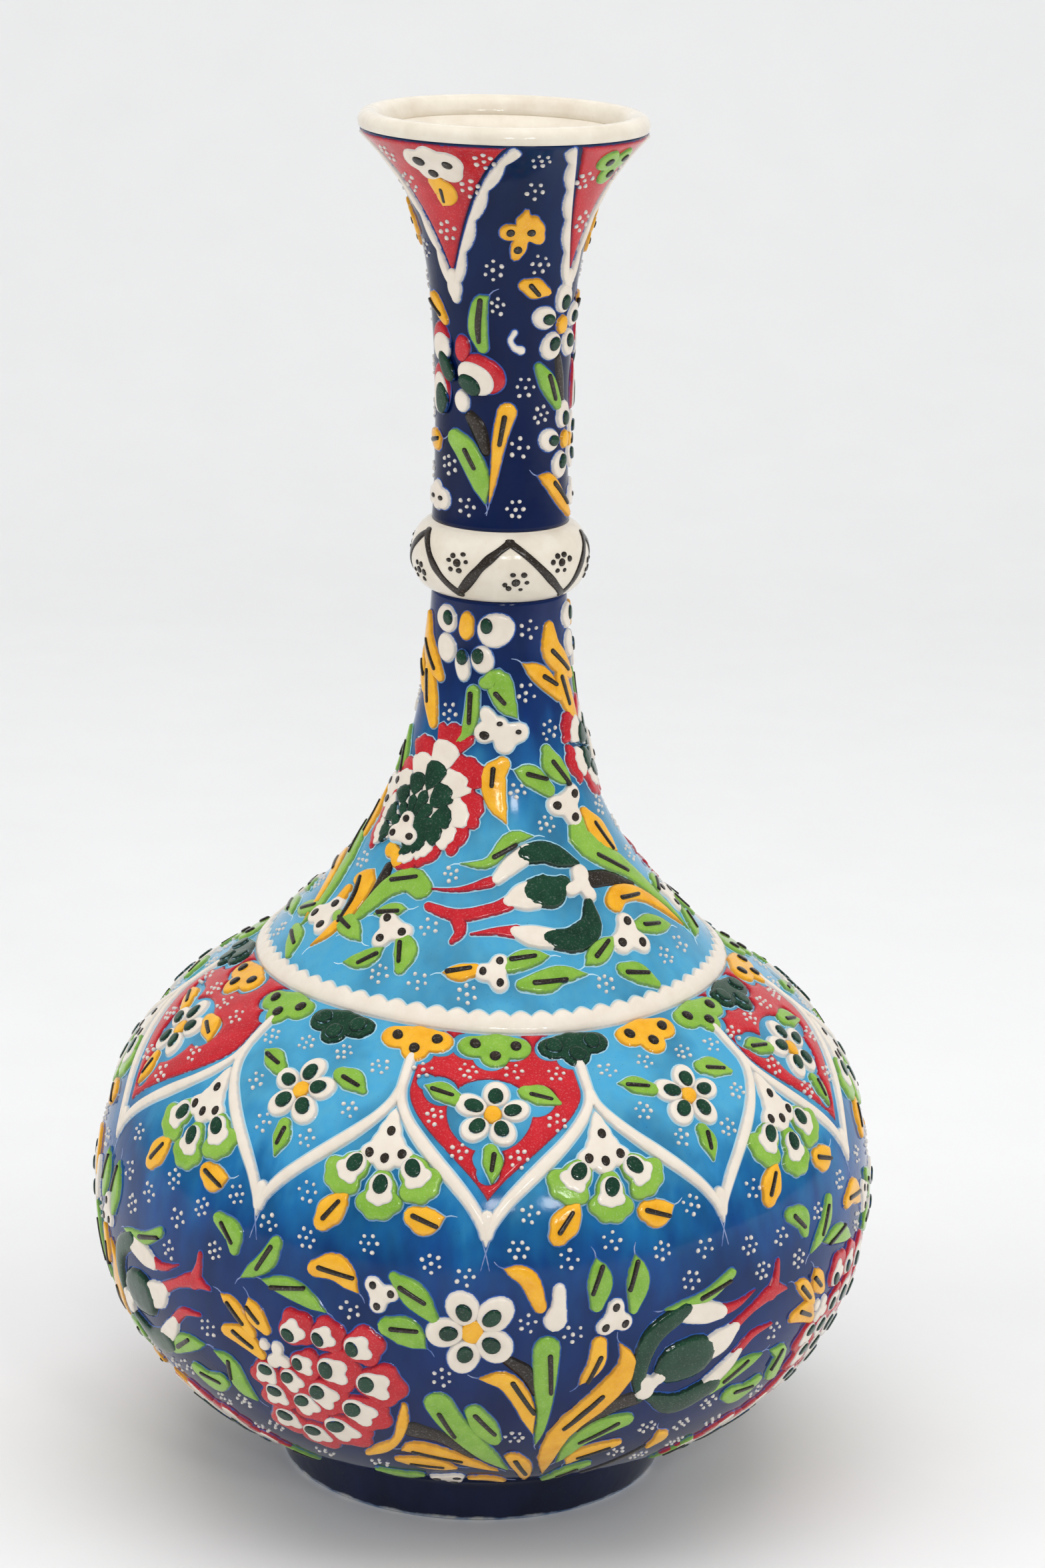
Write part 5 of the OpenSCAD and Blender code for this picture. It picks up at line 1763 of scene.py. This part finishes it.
def paint_inside(piece, rows, first):
    """The inside of the neck is cream: its rows of faces take the second material."""
    piece.data.materials.append(materials["cream_glaze"])
    per_row = len(piece.data.polygons) // rows
    for k in range(first, rows):
        for i in range(k * per_row, (k + 1) * per_row):
            piece.data.polygons[i].material_index = 1


foot_piece()
belly_piece()
shoulder_piece()
collar_piece()
neck_piece()
lip_piece()
for b in batches.values():
    build_batch(b)


# ---- Floor, light and camera ----

def make_floor():
    """A pale floor that turns up into a backdrop, clear when it is seen from behind."""
    n = Nodes("studio_floor")
    place = n.object_place()
    n.colour(n.mix(n.noise(place, 30.0, 2.0), srgb(236, 236, 236), srgb(240, 240, 240)))
    n.shader.inputs["Roughness"].default_value = 0.6
    clear = n.add("ShaderNodeBsdfTransparent").outputs["BSDF"]
    behind = n.add("ShaderNodeNewGeometry").outputs["Backfacing"]
    sheet = n.add("ShaderNodeMixShader", {0: behind, 1: n.shader.outputs["BSDF"], 2: clear})
    n.tree.links.new(sheet.outputs[0], n.tree.nodes["Material Output"].inputs["Surface"])
    reach, back, rise, turn_r = 2.2, 1.3, 1.9, 0.5
    line = [(-reach, 0.0), (back - turn_r, 0.0)]
    for i in range(1, 13):
        a = math.pi / 2 * i / 12
        line.append((back - turn_r + turn_r * math.sin(a), turn_r - turn_r * math.cos(a)))
    line.append((back, rise))
    verts = [(x, y, z) for y, z in line for x in (-reach, reach)]
    faces = [(2 * i, 2 * i + 1, 2 * i + 3, 2 * i + 2) for i in range(len(line) - 1)]
    mesh = bpy.data.meshes.new("studio_floor")
    mesh.from_pydata(verts, [], faces)
    mesh.polygons.foreach_set("use_smooth", [True] * len(mesh.polygons))
    mesh.materials.append(n.material)
    floor = bpy.data.objects.new("studio_floor", mesh)
    bpy.context.scene.collection.objects.link(floor)


def placed(data, columns, place):
    """A new object in the scene whose axes are the columns right, up and back."""
    thing = bpy.data.objects.new(data.name, data)
    bpy.context.scene.collection.objects.link(thing)
    rows = [[*(column[i] for column in columns), place[i]] for i in range(3)]
    thing.matrix_world = Matrix((*rows, (0, 0, 0, 1)))
    return thing


def area_light(name, place, aim, size, power, glossy=True):
    """A soft rectangular light that shines from place towards aim."""
    data = bpy.data.lights.new(name, "AREA")
    data.shape = "RECTANGLE"
    data.size, data.size_y = size
    data.energy = power
    back = np.array(place, float) - np.array(aim, float)
    back /= np.linalg.norm(back)
    right = np.cross([0, 0, 1], back)
    right /= np.linalg.norm(right)
    placed(data, (right, np.cross(back, right), back), place).visible_glossy = glossy


def make_lights():
    """Two small windows that glint in the glaze, three wide soft lights and a dim sky."""
    world = bpy.data.worlds.new("studio")
    bpy.context.scene.world = world
    world.use_nodes = True
    background = world.node_tree.nodes["Background"]
    background.inputs["Color"].default_value = (0.95, 0.97, 1.0, 1.0)
    background.inputs["Strength"].default_value = 0.24
    area_light("window_left", (0.10, -1.25, 0.72), (0, 0, 0.1), (0.16, 0.12), 1.6)
    area_light("window_right", (0.46, -1.15, 0.72), (0, 0, 0.1), (0.16, 0.12), 1.6)
    area_light("left_wall", (-1.25, -0.45, 0.65), (0, 0, 0.12), (0.9, 1.1), 7.6, glossy=False)
    area_light("right_wall", (1.25, -0.35, 0.65), (0, 0, 0.12), (0.9, 1.1), 7.0, glossy=False)
    area_light("ceiling", (0, -0.1, 1.8), (0, 0, 0), (1.8, 1.8), 23, glossy=False)


CAMERA_PLACE = (0.0, -0.896, 0.408)
CAMERA_LENS = 98.47
CAMERA_PITCH = math.radians(15.79)
CAMERA_YAW = math.radians(0.41)
CAMERA_ROLL = math.radians(1.41)


def make_camera():
    """Camera in front and above, looking down a little with a slight roll."""
    pitch, yaw, roll = CAMERA_PITCH, CAMERA_YAW, CAMERA_ROLL
    forward = np.array([math.cos(pitch) * math.sin(yaw), math.cos(pitch) * math.cos(yaw), -math.sin(pitch)])
    level_up = np.array([math.sin(pitch) * math.sin(yaw), math.sin(pitch) * math.cos(yaw), math.cos(pitch)])
    level_right = np.array([math.cos(yaw), -math.sin(yaw), 0.0])
    right = math.cos(roll) * level_right + math.sin(roll) * level_up
    up = math.cos(roll) * level_up - math.sin(roll) * level_right
    data = bpy.data.cameras.new("camera")
    data.sensor_fit = "AUTO"
    data.sensor_width = 36.0
    data.lens = CAMERA_LENS
    data.clip_start = 0.05
    bpy.context.scene.camera = placed(data, (right, up, -forward), CAMERA_PLACE)


make_floor()
make_lights()
make_camera()
bpy.context.scene.view_settings.view_transform = "Standard"

bpy.context.view_layer.update()
